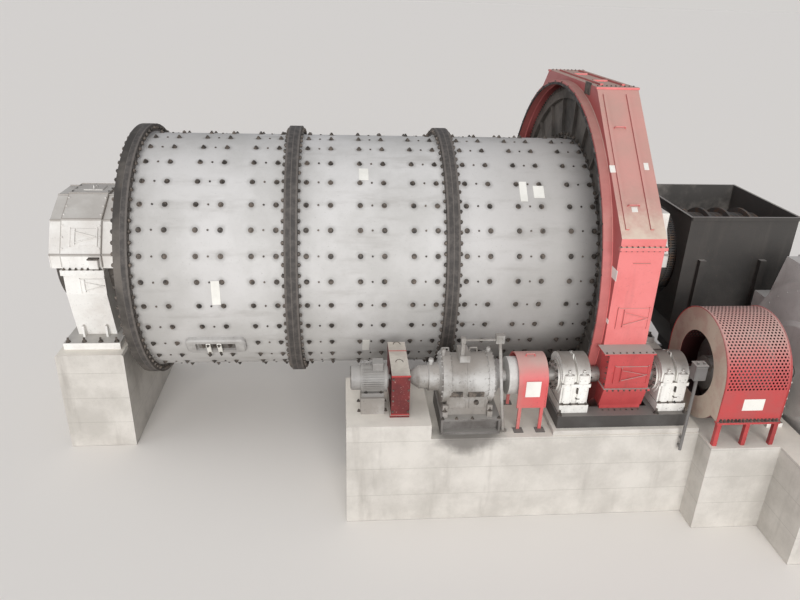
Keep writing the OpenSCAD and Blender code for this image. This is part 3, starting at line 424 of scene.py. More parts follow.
def handle(form, place, length, rise, radius=0.011):
    """Adds a bent bar handle that stands on a place, along its X axis."""
    half = length / 2
    bends = ((-half, 0, -0.01), (-0.86 * half, 0, rise), (0.86 * half, 0, rise), (half, 0, -0.01))
    bent_bar(form, [place @ Vector(bend) for bend in bends], radius, 8)


def door(form, place, width, height, thick=0.014):
    """Adds a bolted door: a plate, a flat down each side, and a bent bar across on three studs."""
    slab(form, (-width / 2, -height / 2, -0.004), (width / 2, height / 2, thick), 0.004, place)
    for edge in (-width * 0.48, width * 0.48):
        slab(form, (edge - 0.012, -height * 0.55, 0.0), (edge + 0.012, height * 0.55, thick + 0.012),
             0.003, place)
    lift = thick + 0.03
    hinge_x, tip = -width * 0.30, Vector((width * 0.44, 0.0, lift))
    for low, end in ((0.30, tip), (-0.34, tip), (-0.42, Vector((hinge_x, height * 0.42, lift)))):
        rod(form, place @ Vector((hinge_x, height * low, lift)), place @ end, 0.009, 8)
    for x, y in ((-0.30, 0.42), (-0.30, -0.42), (0.44, 0.0)):
        foot = Vector((x * width, y * height, 0.0))
        rod(form, place @ foot, place @ (foot + Vector((0.0, 0.0, thick + 0.036))), 0.013, 8)


def on_cap(x, side, lean):
    """The place on the plates of a bearing cap that lean to one side."""
    face = Vector((0.0, side * sin(lean), cos(lean)))
    return aim((x, face.y * cap_r, axis_z + face.z * cap_r), face)


anchor = bolt_form(0.042, 0.04, 0.055, 0.022, 0.06)
joint_bolt = bolt_form(0.026, 0.024, 0.034, 0.014, 0.02)
anchors = bmesh.new()
fittings = bmesh.new()
anchor_places = []
joint_places = []
for bearing_x in bearing_xs:
    for side in (-1, 1):
        for step in (-0.5, -0.17, 0.17, 0.5):
            anchor_places.append(at(bearing_x + step, side * 1.52, foot_top))
        joint_y, joint_z = side * 1.425, axis_z + 0.06
        joint_ends = ((bearing_x - 0.36, joint_y, joint_z), (bearing_x + 0.36, joint_y, joint_z))
        joint_places += [Matrix.Translation(point) for point in along(*joint_ends, 7)]
        door(fittings, on_cap(bearing_x + 0.06, side, radians(60.0)), 0.56, 0.36)
        door(fittings, aim((bearing_x + 0.16, side * cap_r, 3.70), (0, side, 0)), 0.52, 0.30)
        slab(fittings, (bearing_x + 0.17, side * 1.38, 4.10), (bearing_x + 0.36, side * 1.50, 4.30),
             0.01)
        for lean in (radians(15.0), radians(45.0), radians(75.0)):
            for x0, x1, radius in ((-0.634, -0.408, 1.398), (0.408, 0.634, 1.398), (-0.40, 0.40, 1.437)):
                y, z = side * radius * sin(lean), axis_z + radius * cos(lean)
                rod(fittings, (bearing_x + x0, y, z), (bearing_x + x1, y, z), 0.018, 8)
        for x in (bearing_x - 0.628, bearing_x + 0.628):
            rod(fittings, (x, side * 1.35, 4.075), (x, side * 1.35, 4.36), 0.012, 8)
        for lean in (0.0, radians(30.0), radians(60.0)):
            for edge in (-0.37, 0.37):
                seat = on_cap(bearing_x + edge, side, lean)
                for step in (-0.24, 0.0, 0.24):
                    slab(fittings, (-0.018, step - 0.018, -0.01), (0.018, step + 0.018, 0.016), 0.004,
                         seat)
    slab(fittings, (bearing_x - 0.18, -0.16, cap_top - 0.005), (bearing_x + 0.22, 0.16, cap_top + 0.02),
         0.008)
    handle(fittings, aim((bearing_x + 0.02, 0.0, cap_top + 0.02), (0, 0, 1), (1, 0, 0)), 0.2, 0.06)
stamp(anchors, anchor, anchor_places)
stamp(anchors, joint_bolt, joint_places)
steel_piece("bearing_bolts", anchors)
piece("bearing_doors", fittings, "fixed", bearing_paint)

lids = bmesh.new()
for bearing_x in bearing_xs:
    for side in (-1, 1):
        slab(lids, (bearing_x + 0.155, side * 1.375, 4.30), (bearing_x + 0.375, side * 1.515, 4.325),
             0.006)
steel_piece("bearing_box_lids", lids)

# The shell: three rolled steel sections with bolted flanges, painted light grey and
# dusty. Each lining plate inside is held by bolts through the shell, with oily washers.

shell_r = 2.565
shell_names = ("shell_feed", "shell_middle", "shell_discharge")
section_starts = [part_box(name)[0].x for name in shell_names]
shell_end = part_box("shell_discharge")[1].x
section_len = 3.143
bolt_rows = 32
row_step = 2 * pi / bolt_rows
row_start = radians(5.6)
bolt_offsets = (0.288, 0.759, 1.336, 1.807, 2.384, 2.855)
pair_half = 0.2355
pair_pitch = 1.04767
first_pair = section_starts[0] + bolt_offsets[0] + pair_half


def on_drum(x, angle, radius):
    """The place on the drum at an angle from its top towards the drive line."""
    return at(0, 0, axis_z) @ Matrix.Rotation(angle, 4, "X") @ at(x, 0, radius)


def facing_x(out):
    """The turn that lays Z along X, towards the discharge end for 1 and away from it for -1."""
    return Matrix.Rotation(radians(90.0 * out), 4, "Y")


shell_paint = Finish("shell_paint")
above_axis = shell_paint.z - axis_z
turned = (-1.0 * shell_paint.y).turn_from(above_axis)
from_axis = above_axis.length_with(shell_paint.y)
row_gap = ((turned - row_start) / row_step).off_centre() * (row_step * shell_r)
pair_gap = ((shell_paint.x - first_pair) / pair_pitch).off_centre() * pair_pitch
bolt_gap = row_gap.length_with(abs(pair_gap - pair_half))
smudge = shell_paint.noise(7.0, 5.0, 0.7)
cloud = shell_paint.noise(0.5, 6.0, 0.62)
streak = shell_paint.noise(1.5, 5.0, 0.65, (0.3, 1.6, 1.6))
speck = shell_paint.noise(48.0, 3.0, 0.6)
halo = (bolt_gap + 0.13 * smudge).fade(0.10, 0.20)
near_gear = shell_paint.x.band(-4.6, -2.4) * (0.12 + 0.42 * cloud)
near_feed = shell_paint.x.fade(-10.4, -7.6) * 0.12
old_paint = shell_paint.layers(
    (0.70, 0.69, 0.675), ((0.78, 0.77, 0.76), cloud.band(0.34, 0.66)),
    ((0.55, 0.53, 0.505), streak.band(0.52, 0.76) * 0.4), ((0.48, 0.455, 0.43), near_gear + near_feed),
    ((0.33, 0.31, 0.285), halo * 0.34), ((0.40, 0.37, 0.335), speck.band(0.64, 0.74) * 0.5))
rim = from_axis.band(2.585, 2.60)
ring_gap = ((shell_paint.x - section_starts[0]) / section_len).off_centre() * section_len
rim_edges = ring_gap.fade(0.006, 0.012).larger(ring_gap.band(0.085, 0.10))
rim_steel = shell_paint.layers(
    (0.24, 0.225, 0.215), ((0.33, 0.31, 0.295), smudge.band(0.4, 0.66)),
    ((0.46, 0.43, 0.405), rim_edges * 0.42))
shell_paint.shade({
    "Base Color": shell_paint.mix(old_paint, rim_steel, rim),
    "Roughness": 0.46 + 0.28 * cloud + 0.15 * rim,
    "Normal": shell_paint.bump(0.25 * speck + 0.5 * cloud + 0.2 * smudge, 0.006, 0.6),
})
shell_paint.cover(*shell_names)

liner_bolt = bolt_form(0.040, 0.038, 0.056, 0.018, 0.022)
plug_bolt = bolt_form(0.022, 0.020)
bolt_seat = shell_r - 0.002
bolt_places = []
plug_places = []


def beside_manhole(x, angle):
    """Whether a bolt through the shell at this place would meet the manhole's frame."""
    return -9.60 < x < -8.58 and radians(108.0) < angle < radians(129.0)


for start in section_starts:
    for row in range(bolt_rows):
        angle = (row_start + row * row_step) % (2 * pi)
        for offset in bolt_offsets:
            if not beside_manhole(start + offset, angle):
                bolt_places.append(on_drum(start + offset, angle, bolt_seat))
        for offset in bolt_offsets[::2]:
            if not beside_manhole(start + offset + pair_half, angle):
                plug_places.append(on_drum(start + offset + pair_half, angle, bolt_seat))
bolts = bmesh.new()
stamp(bolts, liner_bolt, bolt_places)
stamp(bolts, plug_bolt, plug_places)
steel_piece("liner_bolts", bolts, "drum")

flange_bolt = bolt_form(0.042, 0.045, stud=0.020, rise=0.012)
flange_bolts = 80
flange_bolt_r = 2.672
flange_face = 0.129
gear_web = 0.1
flange_places = []
for joint_x in (*section_starts, shell_end):
    behind = flange_face + (gear_web if joint_x == shell_end else 0.0)
    for count in range(flange_bolts):
        seat = on_drum(joint_x, 2 * pi * count / flange_bolts, flange_bolt_r)
        flange_places.append(seat @ at(flange_face, 0, 0) @ facing_x(1))
        flange_places.append(seat @ at(-behind, 0, 0) @ facing_x(-1))
joints = bmesh.new()
stamp(joints, flange_bolt, flange_places)
steel_piece("flange_bolts", joints, "drum")

# The manhole: a thick oblong frame welded to the shell, with the cover let into it and
# held by two clamp bars and studs, and five bare cream plates riveted to the shell.

bare_plate = weathered("bare_plate", (0.90, 0.89, 0.86), (0.84, 0.83, 0.80), 0.15, 0.12)
frame_paint = weathered("manhole_paint", (0.70, 0.69, 0.675), (0.60, 0.585, 0.57), 0.0, 0.5)
cover_paint = weathered("cover_paint", (0.50, 0.485, 0.46), (0.40, 0.38, 0.36), 0.0, 0.9)
cover_paint.cover("manhole_cover")


def card(form, place, width, height):
    """Adds a bare plate with a rivet in each corner."""
    slab(form, (-width / 2, -height / 2, -0.002), (width / 2, height / 2, 0.006), 0.002, place)
    for x in (-0.44 * width, 0.44 * width):
        for y in (-0.42 * height, 0.42 * height):
            rod(form, place @ Vector((x, y, 0.0)), place @ Vector((x, y, 0.010)), 0.007, 6)


manhole_place = on_drum(-9.089, radians(119.0), shell_r)
manhole = bmesh.new()
corners = bmesh.ops.create_cube(manhole, size=1.0)["verts"]
bmesh.ops.scale(manhole, vec=(1.20, 0.46, 0.09), verts=corners)
bmesh.ops.translate(manhole, vec=(0.0, 0.0, 0.015), verts=corners)
uprights = [e for e in manhole.edges if abs(e.verts[0].co.z - e.verts[1].co.z) > 0.05]
bmesh.ops.bevel(manhole, geom=uprights, offset=0.12, segments=4, profile=0.5, affect="EDGES",
                material=-1)
face = max(manhole.faces, key=lambda f: f.calc_center_median().z)
bmesh.ops.inset_region(manhole, faces=[face], thickness=0.035, depth=0.0)
bmesh.ops.translate(manhole, vec=(0.0, 0.0, 0.03), verts=face.verts)
bmesh.ops.inset_region(manhole, faces=[face], thickness=0.075, depth=0.0)
bmesh.ops.scale(manhole, vec=(0.82, 1.0, 1.0), verts=face.verts)
sunk = bmesh.ops.extrude_face_region(manhole, geom=[face])["geom"]
sunk_verts = [v for v in sunk if isinstance(v, bmesh.types.BMVert)]
bmesh.ops.translate(manhole, vec=(0.0, 0.0, -0.085), verts=sunk_verts)
bmesh.ops.delete(manhole, geom=[face], context="FACES_ONLY")
bmesh.ops.transform(manhole, matrix=manhole_place, verts=manhole.verts)
rod(manhole, manhole_place @ Vector((0.53, 0, 0.05)), manhole_place @ Vector((0.53, 0, 0.095)),
    0.035, 16)
piece("manhole_frame", manhole, "drum", frame_paint)

clamp_xs = (-0.14, 0.08)
bars = bmesh.new()
for x in clamp_xs:
    slab(bars, (x - 0.045, -0.19, 0.09), (x + 0.045, 0.15, 0.125), 0.008, manhole_place)
    slab(bars, (x - 0.030, -0.26, 0.0), (x + 0.030, -0.235, 0.10), 0.0, manhole_place)
piece("manhole_bars", bars, "drum", bare_plate)

clamps = bmesh.new()
for x in (-0.25, -0.03, 0.28):
    rod(clamps, manhole_place @ Vector((x, 0, 0.02)), manhole_place @ Vector((x, 0, 0.10)), 0.024, 10)
    big_nut = at(x, 0.0, 0.03) @ Matrix.Scale(1.5, 4)
    stamp(clamps, joint_bolt, [manhole_place @ big_nut])
stamp(clamps, joint_bolt, [
    manhole_place @ at(x, y, z)
    for x in clamp_xs for y, z in ((-0.15, 0.125), (0.12, 0.125), (-0.25, 0.09))])
steel_piece("manhole_bolts", clamps, "drum")

cards = bmesh.new()
for x, turn, width, height in (
        (-6.07, 34.5, 0.19, 0.30), (-8.95, 89.2, 0.165, 0.50), (-2.875, 43.2, 0.15, 0.46),
        (-2.56, 43.3, 0.22, 0.28), (-6.02, 121.5, 0.15, 0.42)):
    card(cards, on_drum(x, radians(turn), shell_r + 0.001), width, height)
piece("shell_plates", cards, "drum", bare_plate)

# The heads and trunnions: cast steel cones and hollow journals, dark with grease and
# dust, bolted together through round flanges.

cast_steel = Finish("cast_steel")
cast_grain = cast_steel.noise(14.0, 6.0, 0.7)
cast_cloud = cast_steel.noise(0.8, 5.0, 0.6)
cast_steel.shade({
    "Base Color": cast_steel.layers(
        (0.24, 0.225, 0.21), ((0.42, 0.395, 0.37), cast_cloud.band(0.36, 0.64)),
        ((0.47, 0.33, 0.23), cast_grain.band(0.60, 0.76) * 0.35)),
    "Roughness": 0.55 + 0.3 * cast_grain,
    "Metallic": 0.25,
    "Normal": cast_steel.bump(cast_grain, 0.006, 0.7),
})
cast_steel.cover("feed_head", "feed_trunnion", "discharge_head", "discharge_trunnion", "girth_gear")

head_depth = 0.449
head_bolts = 32
head_bolt_r = 1.232
head_places = []
for flange_x, out in ((section_starts[0], -1), (shell_end, 1)):
    for count in range(head_bolts):
        seat = on_drum(flange_x, 2 * pi * count / head_bolts + radians(3.0), 0.0)
        step_out = at(out * head_depth, 0, head_bolt_r)
        head_places.append(seat @ step_out @ facing_x(out))
rings = bmesh.new()
stamp(rings, bolt_form(0.055, 0.05, 0.07, 0.03, 0.05), head_places)
steel_piece("trunnion_bolts", rings, "drum")

# The trommel and the spout liner: a screen drum of slotted plate inside the hopper,
# dark with slurry and rust, with four riding rings, and the flanged steel liner.

screen_r = 0.9
slot_pitch_round = 0.06
slot_pitch_along = 0.11
screen_steel = Finish("screen_steel")
screen_above = screen_steel.z - axis_z
screen_turn = screen_steel.y.turn_from(screen_above)
screen_out = screen_above.length_with(screen_steel.y)
slots_round = (screen_turn * (screen_r / slot_pitch_round)).off_centre()
slots_along = (screen_steel.x / slot_pitch_along).off_centre()
# The slots are painted near black: painted shade of the drum's inside, while the plate stays closed.
slots = slots_round.fade(0.16, 0.22) * slots_along.fade(0.34, 0.40)
slots = slots * abs(screen_out - (screen_r - 0.01)).fade(0.012, 0.02) * screen_steel.x.band(0.86, 0.90)
screen_rust = screen_steel.noise(5.0, 6.0, 0.7)
screen_steel.shade({
    "Base Color": screen_steel.layers(
        (0.30, 0.29, 0.28), ((0.40, 0.31, 0.24), screen_rust.band(0.45, 0.68)),
        ((0.04, 0.04, 0.04), slots)),
    "Roughness": 0.6 + 0.3 * screen_rust,
    "Normal": screen_steel.bump(screen_rust - 1.5 * slots, 0.01, 0.8),
})
screen_steel.cover("trommel", "feed_spout_liner")

liner_bolts = 24
liner_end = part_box("feed_spout_liner")[0].x
liner_ring = bmesh.new()
stamp(liner_ring, bolt_form(0.045, 0.045, 0.06), [
    on_drum(liner_end, 2 * pi * count / liner_bolts, 0.97) @ facing_x(-1) for count in range(liner_bolts)])
steel_piece("spout_liner_bolts", liner_ring, "drum")

# The gear guard: a folded steel case round the girth gear in two halves, painted red,
# with ribs and lifting bars. Dust lies thick on its slanted panels above the joint.

guard_joint_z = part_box("gear_guard_upper")[0].z
guard_feed_x = -1.62
guard_front = 3.90
seal_face_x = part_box("gear_guard_seal")[1].x
seal_bolt_r = 3.80
guard_paint = weathered(
    "guard_paint", (0.88, 0.50, 0.49), (0.85, 0.455, 0.445), 1.15, 0.2, 0.42, (0.66, 0.555, 0.51))
# The faces towards the drum are painted dark red: painted shade on that side, with grime.
drum_side_shade = guard_paint.normal("X").fade(-0.9, -0.6)
on_rim = guard_paint.x.fade(-1.64, -1.63)
blotches = guard_paint.noise(4.0, 5.0, 0.65)
above_joint = guard_paint.z - guard_joint_z
lower_end = above_joint.band(0.0, 0.01) * (above_joint + 0.9 * blotches).fade(0.45, 1.25)
settled = lower_end * guard_paint.facing_up() * 1.25
guard_paint.shade({"Base Color": guard_paint.layers(
    guard_paint.coat, ((0.80, 0.745, 0.675), settled),
    ((0.44, 0.15, 0.15), drum_side_shade * (1.0 - on_rim) * 0.62),
    ((0.56, 0.30, 0.28), on_rim * (0.35 + 0.5 * blotches)))})
guard_paint.cover("gear_guard_upper", "gear_guard_lower")

seal_rubber = Finish("seal_rubber")
seal_dirt = seal_rubber.noise(6.0, 5.0, 0.65)
seal_rubber.shade({
    "Base Color": seal_rubber.mix((0.16, 0.155, 0.15), (0.36, 0.34, 0.33), seal_dirt.band(0.42, 0.68)),
    "Roughness": 0.75,
    "Normal": seal_rubber.bump(seal_dirt, 0.003, 0.5),
})
seal_rubber.cover("gear_guard_seal")


def row_of(start, end, count, normal):
    """Evenly spaced places from start to end, standing along a normal."""
    return [aim(point, normal) for point in along(start, end, count)]


guard_bars = bmesh.new()
guard_bolts = bmesh.new()
guard_cards = bmesh.new()
cover_bolt = bolt_form(0.015, 0.014, 0.020, 0.007, 0.010)
cover_places = []
for side in (-1, 1):
    joint_y = side * (guard_front + 0.03)
    for up in (1, -1):
        joint_z = guard_joint_z + 0.03 * up
        cover_places += row_of((guard_feed_x, joint_y, joint_z), (-0.80, joint_y, joint_z), 9, (0, 0, up))
    slope = Vector((0.0, side, 1.0)).normalized()
    lie = Vector((0.0, -side, 1.0)).normalized()
    middle = Vector((0.0, side * 2.7577, 6.7577))
    for offset in (0.683, -0.963):
        handle(guard_bars, aim(middle + lie * offset + Vector((-1.31, 0, 0)), slope, lie), 0.22, 0.045,
               0.012)
    cover_places += row_of((-1.57, side * 1.52, 7.905), (-0.85, side * 1.52, 7.905), 9, (0, 0, 1))
    slab(guard_bars, (-1.64, side * 1.56, 7.86), (-0.78, side * 1.66, 7.905), 0.004)
    for x, offset, width, height in ((-1.58, -0.20, 0.11, 0.15), (-0.935, -0.14, 0.09, 0.15),
                                     (-1.30, -1.035, 0.11, 0.10)):
        card(guard_cards, aim(middle + lie * offset + Vector((x, 0, 0)), slope, lie), width, height)
slab(guard_bars, (-1.34, -3.925, 5.155), (-1.02, -3.895, 5.165), 0.003)
door(guard_bars, aim((-1.16, -guard_front, 4.08), (0, -1, 0)), 0.62, 0.40)
for y in (-0.62, 0.62):
    slab(guard_bars, (-1.36, y - 0.05, 7.89), (-1.06, y + 0.05, 7.934), 0.004)
slab(guard_bolts, (-1.632, -1.30, 7.70), (-1.605, -0.98, 7.934), 0.004)
for angle in range(-50, 231, 7):
    lean = radians(angle)
    y, z = seal_bolt_r * cos(lean), axis_z + seal_bolt_r * sin(lean)
    if angle != 20 and (z > 2.5 or abs(y) < 2.6):
        cover_places.append(at(seal_face_x, y, z) @ Matrix.Rotation(lean, 4, "X") @ facing_x(-1))
card(guard_cards, aim((-1.6205, -3.78, 4.93), (-1, 0, 0)), 0.34, 0.20)
card(guard_cards, aim((-1.6205, -3.86, 4.01), (-1, 0, 0)), 0.14, 0.08)
slab(guard_cards, (-0.802, -3.56, 5.02), (-0.66, -3.14, 5.98), 0.01)
stamp(guard_bolts, cover_bolt, cover_places)
piece("guard_bars", guard_bars, "fixed", guard_paint)
steel_piece("guard_bolts", guard_bolts)
piece("guard_plates", guard_cards, "fixed", bare_plate)

# The pinion guard: a smaller red box bolted to the front of the gear guard, with a door
# on the front and a loose dusty cover plate on top.

pinion_guard_paint = weathered(
    "pinion_guard_paint", (0.76, 0.31, 0.31), (0.70, 0.27, 0.27), 1.5, 0.45, 0.42, (0.66, 0.64, 0.61))
pinion_guard_paint.cover("pinion_guard")
pinion_door = bmesh.new()
door(pinion_door, aim((-1.16, -4.25, 3.08), (0, -1, 0)), 0.66, 0.34)
piece("pinion_guard_door", pinion_door, "fixed", pinion_guard_paint)
pinion_bolts = bmesh.new()
stamp(pinion_bolts, cover_bolt, [
    *row_of((-1.68, -4.24, 3.525), (-0.80, -4.24, 3.525), 8, (0, 0, 1)),
    *row_of((-1.58, -4.301, 2.76), (-0.82, -4.301, 2.76), 8, (0, -1, 0)),
    *row_of((-1.55, -4.20, 2.261), (-0.85, -4.20, 2.261), 7, (0, 0, 1)),
    *row_of((-1.621, -4.21, 2.85), (-1.621, -4.21, 3.45), 6, (-1, 0, 0))])
steel_piece("pinion_guard_bolts", pinion_bolts)

# The pinion and its bearings: a forged pinion shaft in two split cast housings, cream
# under the dust, on a fabricated sole plate that is bolted to the concrete.

pinion_y, pinion_z = axes["pinion_spin"][1:]
housing_boxes = [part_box(name) for name in ("pinion_bearing_inner", "pinion_bearing_outer")]
housing_xs = [(low.x + high.x) / 2 for low, high in housing_boxes]
housing_front = 0.389
housing_joint_z = 3.058
pinion_bearing_paint = weathered(
    "pinion_bearing_paint", (0.92, 0.91, 0.885), (0.80, 0.785, 0.76), 1.05, 0.7, 0.4, (0.50, 0.47, 0.44))
pinion_bearing_paint.cover(
    "pinion_bearing_inner", "pinion_bearing_outer", "motor_bearing_inner", "motor_bearing_outer")
shaft_steel = Finish("shaft_steel")
shaft_lines = shaft_steel.noise(3.0, 4.0, 0.6, (14.0, 0.6, 0.6))
shaft_rust = shaft_steel.noise(6.0, 6.0, 0.7)
shaft_steel.shade({
    "Base Color": shaft_steel.layers(
        (0.52, 0.50, 0.48), ((0.62, 0.605, 0.585), shaft_lines),
        ((0.36, 0.26, 0.20), shaft_rust.band(0.50, 0.70) * 0.7)),
    "Roughness": 0.35 + 0.4 * shaft_rust,
    "Metallic": 0.6,
    "Normal": shaft_steel.bump(shaft_lines + shaft_rust, 0.002, 0.4),
})
shaft_steel.cover("pinion", "motor_shaft", "clutch_drum")
sole_steel = weathered("sole_steel", (0.30, 0.29, 0.28), (0.24, 0.225, 0.215), 0.5, 0.6, 0.5)
sole_steel.cover("pinion_sole_plate")


def round_pinion(x, radius, turn):
    """The point beside the pinion's axis, turned from the back towards the top."""
    return Vector((x, pinion_y + radius * cos(turn), pinion_z + radius * sin(turn)))


housing = bmesh.new()
housing_bolts_and_hole_shade = bmesh.new()
big_places = []
small_places = []
for bearing_x in housing_xs:
    for side in (-1, 1):
        front = pinion_y + side * housing_front
        proud = front + side * 0.047
        for x in (bearing_x - 0.14, bearing_x + 0.14):
            big_places.append(at(x, front - side * 0.004, housing_joint_z))
            slab(housing, (x - 0.095, front - side * 0.06, 2.44), (x + 0.095, front + side * 0.045, 3.06),
                 0.014)
        # Two dark steel strips on each front stand for a slot and a hole: painted shade.
        slab(housing_bolts_and_hole_shade, (bearing_x + 0.028, front, 2.66), (bearing_x + 0.052, proud, 2.78))
        slab(housing_bolts_and_hole_shade, (bearing_x + 0.03, front, 2.54), (bearing_x + 0.10, proud, 2.56))
        for x in (-0.22, -0.07, 0.07, 0.22):
            small_places.append(at(bearing_x + x, pinion_y + side * 0.432, 2.43))
    for out in (-1, 1):
        end = bearing_x + out * 0.281
        seal_end = end + out * 0.03
        rod(housing, (end, pinion_y, pinion_z), (seal_end, pinion_y, pinion_z), 0.30, 40)
        for count in range(12):
            point = round_pinion(seal_end, 0.26, radians(30.0 * count + 15.0))
            small_places.append(Matrix.Translation(point) @ facing_x(out))
    top = at(bearing_x, pinion_y, pinion_z + 0.35)
    handle(housing, top @ Matrix.Rotation(radians(90.0), 4, "Z"), 0.16, 0.12, 0.014)
stamp(housing, bolt_form(0.036, 0.04, 0.050, 0.020, 0.04), big_places)
piece("pinion_bearing_details", housing, "fixed", pinion_bearing_paint)
sole_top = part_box("pinion_sole_plate")[1].z
stamp(housing_bolts_and_hole_shade, joint_bolt, small_places)
stamp(housing_bolts_and_hole_shade, anchor, [
    at(x, y, sole_top) for x in (-2.44, -0.55, 0.03) for y in (-4.33, -3.28)])
steel_piece("pinion_bearing_bolts", housing_bolts_and_hole_shade)

# The coupling and its guard: a turned steel drum, and a red sheet arch over it with a
# handle on top and a bare cream plate, dusty along its upper side.

arch_low, arch_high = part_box("coupling_guard")
arch_x0 = arch_low.x + 0.015
arch_x1 = arch_high.x - 0.015
coupling_steel = weathered("coupling_steel", (0.80, 0.79, 0.77), (0.68, 0.665, 0.645), 0.0, 0.35, 0.35)
coupling_steel.cover("coupling_drum")


def dusty_edge(finish):
    """Dust along the arch's end beside the coupling drum."""
    return (finish.x - (arch_x0 + 0.01)).fade(0.0, 0.10) * 0.15


coupling_paint = weathered(
    "coupling_paint", (0.80, 0.35, 0.35), (0.76, 0.40, 0.385), 0.8, 0.4, 0.42,
    (0.72, 0.66, 0.62), dusty_edge)
coupling_paint.cover("coupling_guard")
arch = bmesh.new()
handle(arch, at(-2.99, pinion_y - 0.07, pinion_z + 0.449), 0.18, 0.045)
for x in (arch_x0, arch_x1):
    for side in (-1, 1):
        slab(arch, (x - 0.012, pinion_y + side * 0.452, 2.39),
             (x + 0.012, pinion_y + side * 0.466, pinion_z), 0.003)
piece("coupling_guard_handle", arch, "fixed", coupling_paint)
arch_card = bmesh.new()
card(arch_card, aim((-2.98, -4.2575, 2.79), (0, -1, 0)), 0.28, 0.33)
piece("coupling_guard_plate", arch_card, "fixed", bare_plate)
arch_feet = bmesh.new()
for x in (arch_x0 + 0.055, arch_x1 - 0.055):
    for side in (-1, 1):
        slab(arch_feet, (x - 0.09, pinion_y + side * 0.40, arch_low.z),
             (x + 0.09, pinion_y + side * 0.56, arch_low.z + 0.015), 0.002)
piece("coupling_guard_feet", arch_feet, "fixed", sole_steel)

# The inching reducer: a stepped cast housing with a round nose, grey paint under dust
# and oil, bolted flanges, cover panels, breathers and lifting handles.

reducer_front = pinion_y - 0.395
base_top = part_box("reducer_base")[1].z


def oily_foot(finish):
    """Dust and oil that thicken towards the housing's foot."""
    return (finish.z - 2.30).fade(0.0, 0.45) * 0.5


reducer_paint = weathered(
    "reducer_paint", (0.72, 0.71, 0.695), (0.52, 0.50, 0.475), 0.8, 0.8, 0.45,
    (0.58, 0.55, 0.52), oily_foot)
reducer_paint.cover("inching_reducer", "lever_post", "inching_motor_stand")
base_paint = weathered("base_paint", (0.50, 0.485, 0.47), (0.36, 0.34, 0.325), 0.9, 0.8, 0.5)
base_paint.cover("reducer_base")

reducer_parts = bmesh.new()
dark_parts_and_shade = bmesh.new()
panel_places = []
ring_places = []
for x, out, radius, count in ((-4.669, -1, 0.46, 24), (-4.519, 1, 0.47, 24), (-3.815, -1, 0.475, 24),
                              (-3.72, 1, 0.46, 24), (-4.708, -1, 0.25, 12)):
    for step in range(count):
        turn = 2 * pi / count * (step + 0.5)
        if radius < 0.3 or sin(turn) > -0.55:
            ring_places.append(Matrix.Translation(round_pinion(x, radius, turn)) @ facing_x(out))
# Two dark strips under the round housing, above the panels: painted shadow under the housing.
for x0, x1 in ((-4.545, -4.30), (-4.205, -3.90)):
    slab(dark_parts_and_shade, (x0, reducer_front - 0.075, 2.655), (x1, reducer_front + 0.02, 2.76), 0.006)
panel_face = reducer_front - 0.022
for x0, x1 in ((-4.56, -4.22), (-4.17, -3.86)):
    slab(reducer_parts, (x0, panel_face, 2.37), (x1, reducer_front + 0.01, 2.64), 0.012)
    for z in (2.395, 2.615):
        panel_places += row_of((x0 + 0.03, panel_face, z), (x1 - 0.03, panel_face, z), 4, (0, -1, 0))
    panel_places += row_of((x0 + 0.03, panel_face, 2.46), (x0 + 0.03, panel_face, 2.55), 2, (0, -1, 0))
for x, y, low, high, radius in (
        (-4.86, pinion_y, 3.08, 3.22, 0.035), (-4.64, pinion_y - 0.05, 3.31, 3.44, 0.03),
        (-3.78, pinion_y + 0.05, 3.31, 3.42, 0.03)):
    rod(reducer_parts, (x, y, low), (x, y, high - 0.05), radius, 16)
    rod(reducer_parts, (x, y, high - 0.05), (x, y, high), radius * 1.5, 16, radius * 1.2)
for x in (-4.59, -4.05):
    handle(reducer_parts, at(x, pinion_y + 0.12, pinion_z + 0.44), 0.15, 0.10, 0.016)
for x in (-4.44, -4.30, -3.98):
    slab(reducer_parts, (x - 0.02, pinion_y - 0.38, 2.80), (x + 0.02, pinion_y - 0.36, 2.99), 0.004)
drain = Vector((-4.03, reducer_front - 0.06, 2.52))
rod(dark_parts_and_shade, drain + Vector((0, 0.04, 0)), drain, 0.045, 20)
rod(dark_parts_and_shade, drain, drain - Vector((0, 0.025, 0)), 0.035, 12)
for x in (-4.61, -3.77):
    slab(reducer_parts, (x - 0.05, pinion_y - 0.47, 2.352), (x + 0.05, pinion_y - 0.40, 2.47), 0.008)
stamp(reducer_parts, bolt_form(0.020, 0.018, stud=0.010, rise=0.012), ring_places)
stamp(reducer_parts, bolt_form(0.012, 0.010), panel_places)
piece("reducer_panels", reducer_parts, "fixed", reducer_paint)
stamp(dark_parts_and_shade, bolt_form(0.035, 0.04, 0.05, 0.02, 0.04), [
    at(x, pinion_y + y, 2.35) for x in (-4.62, -3.77) for y in (-0.455, 0.455)])
stamp(dark_parts_and_shade, joint_bolt, [
    at(x, y, base_top) for x in (-4.66, -4.40, -4.10, -3.60) for y in (-4.345, -3.26)])
steel_piece("reducer_bolts", dark_parts_and_shade)

# The inching motor and the box guard over its wheels: a ribbed grey motor with a fan
# cowl and a terminal box, and a folded box, cream with dust above and dark red below.

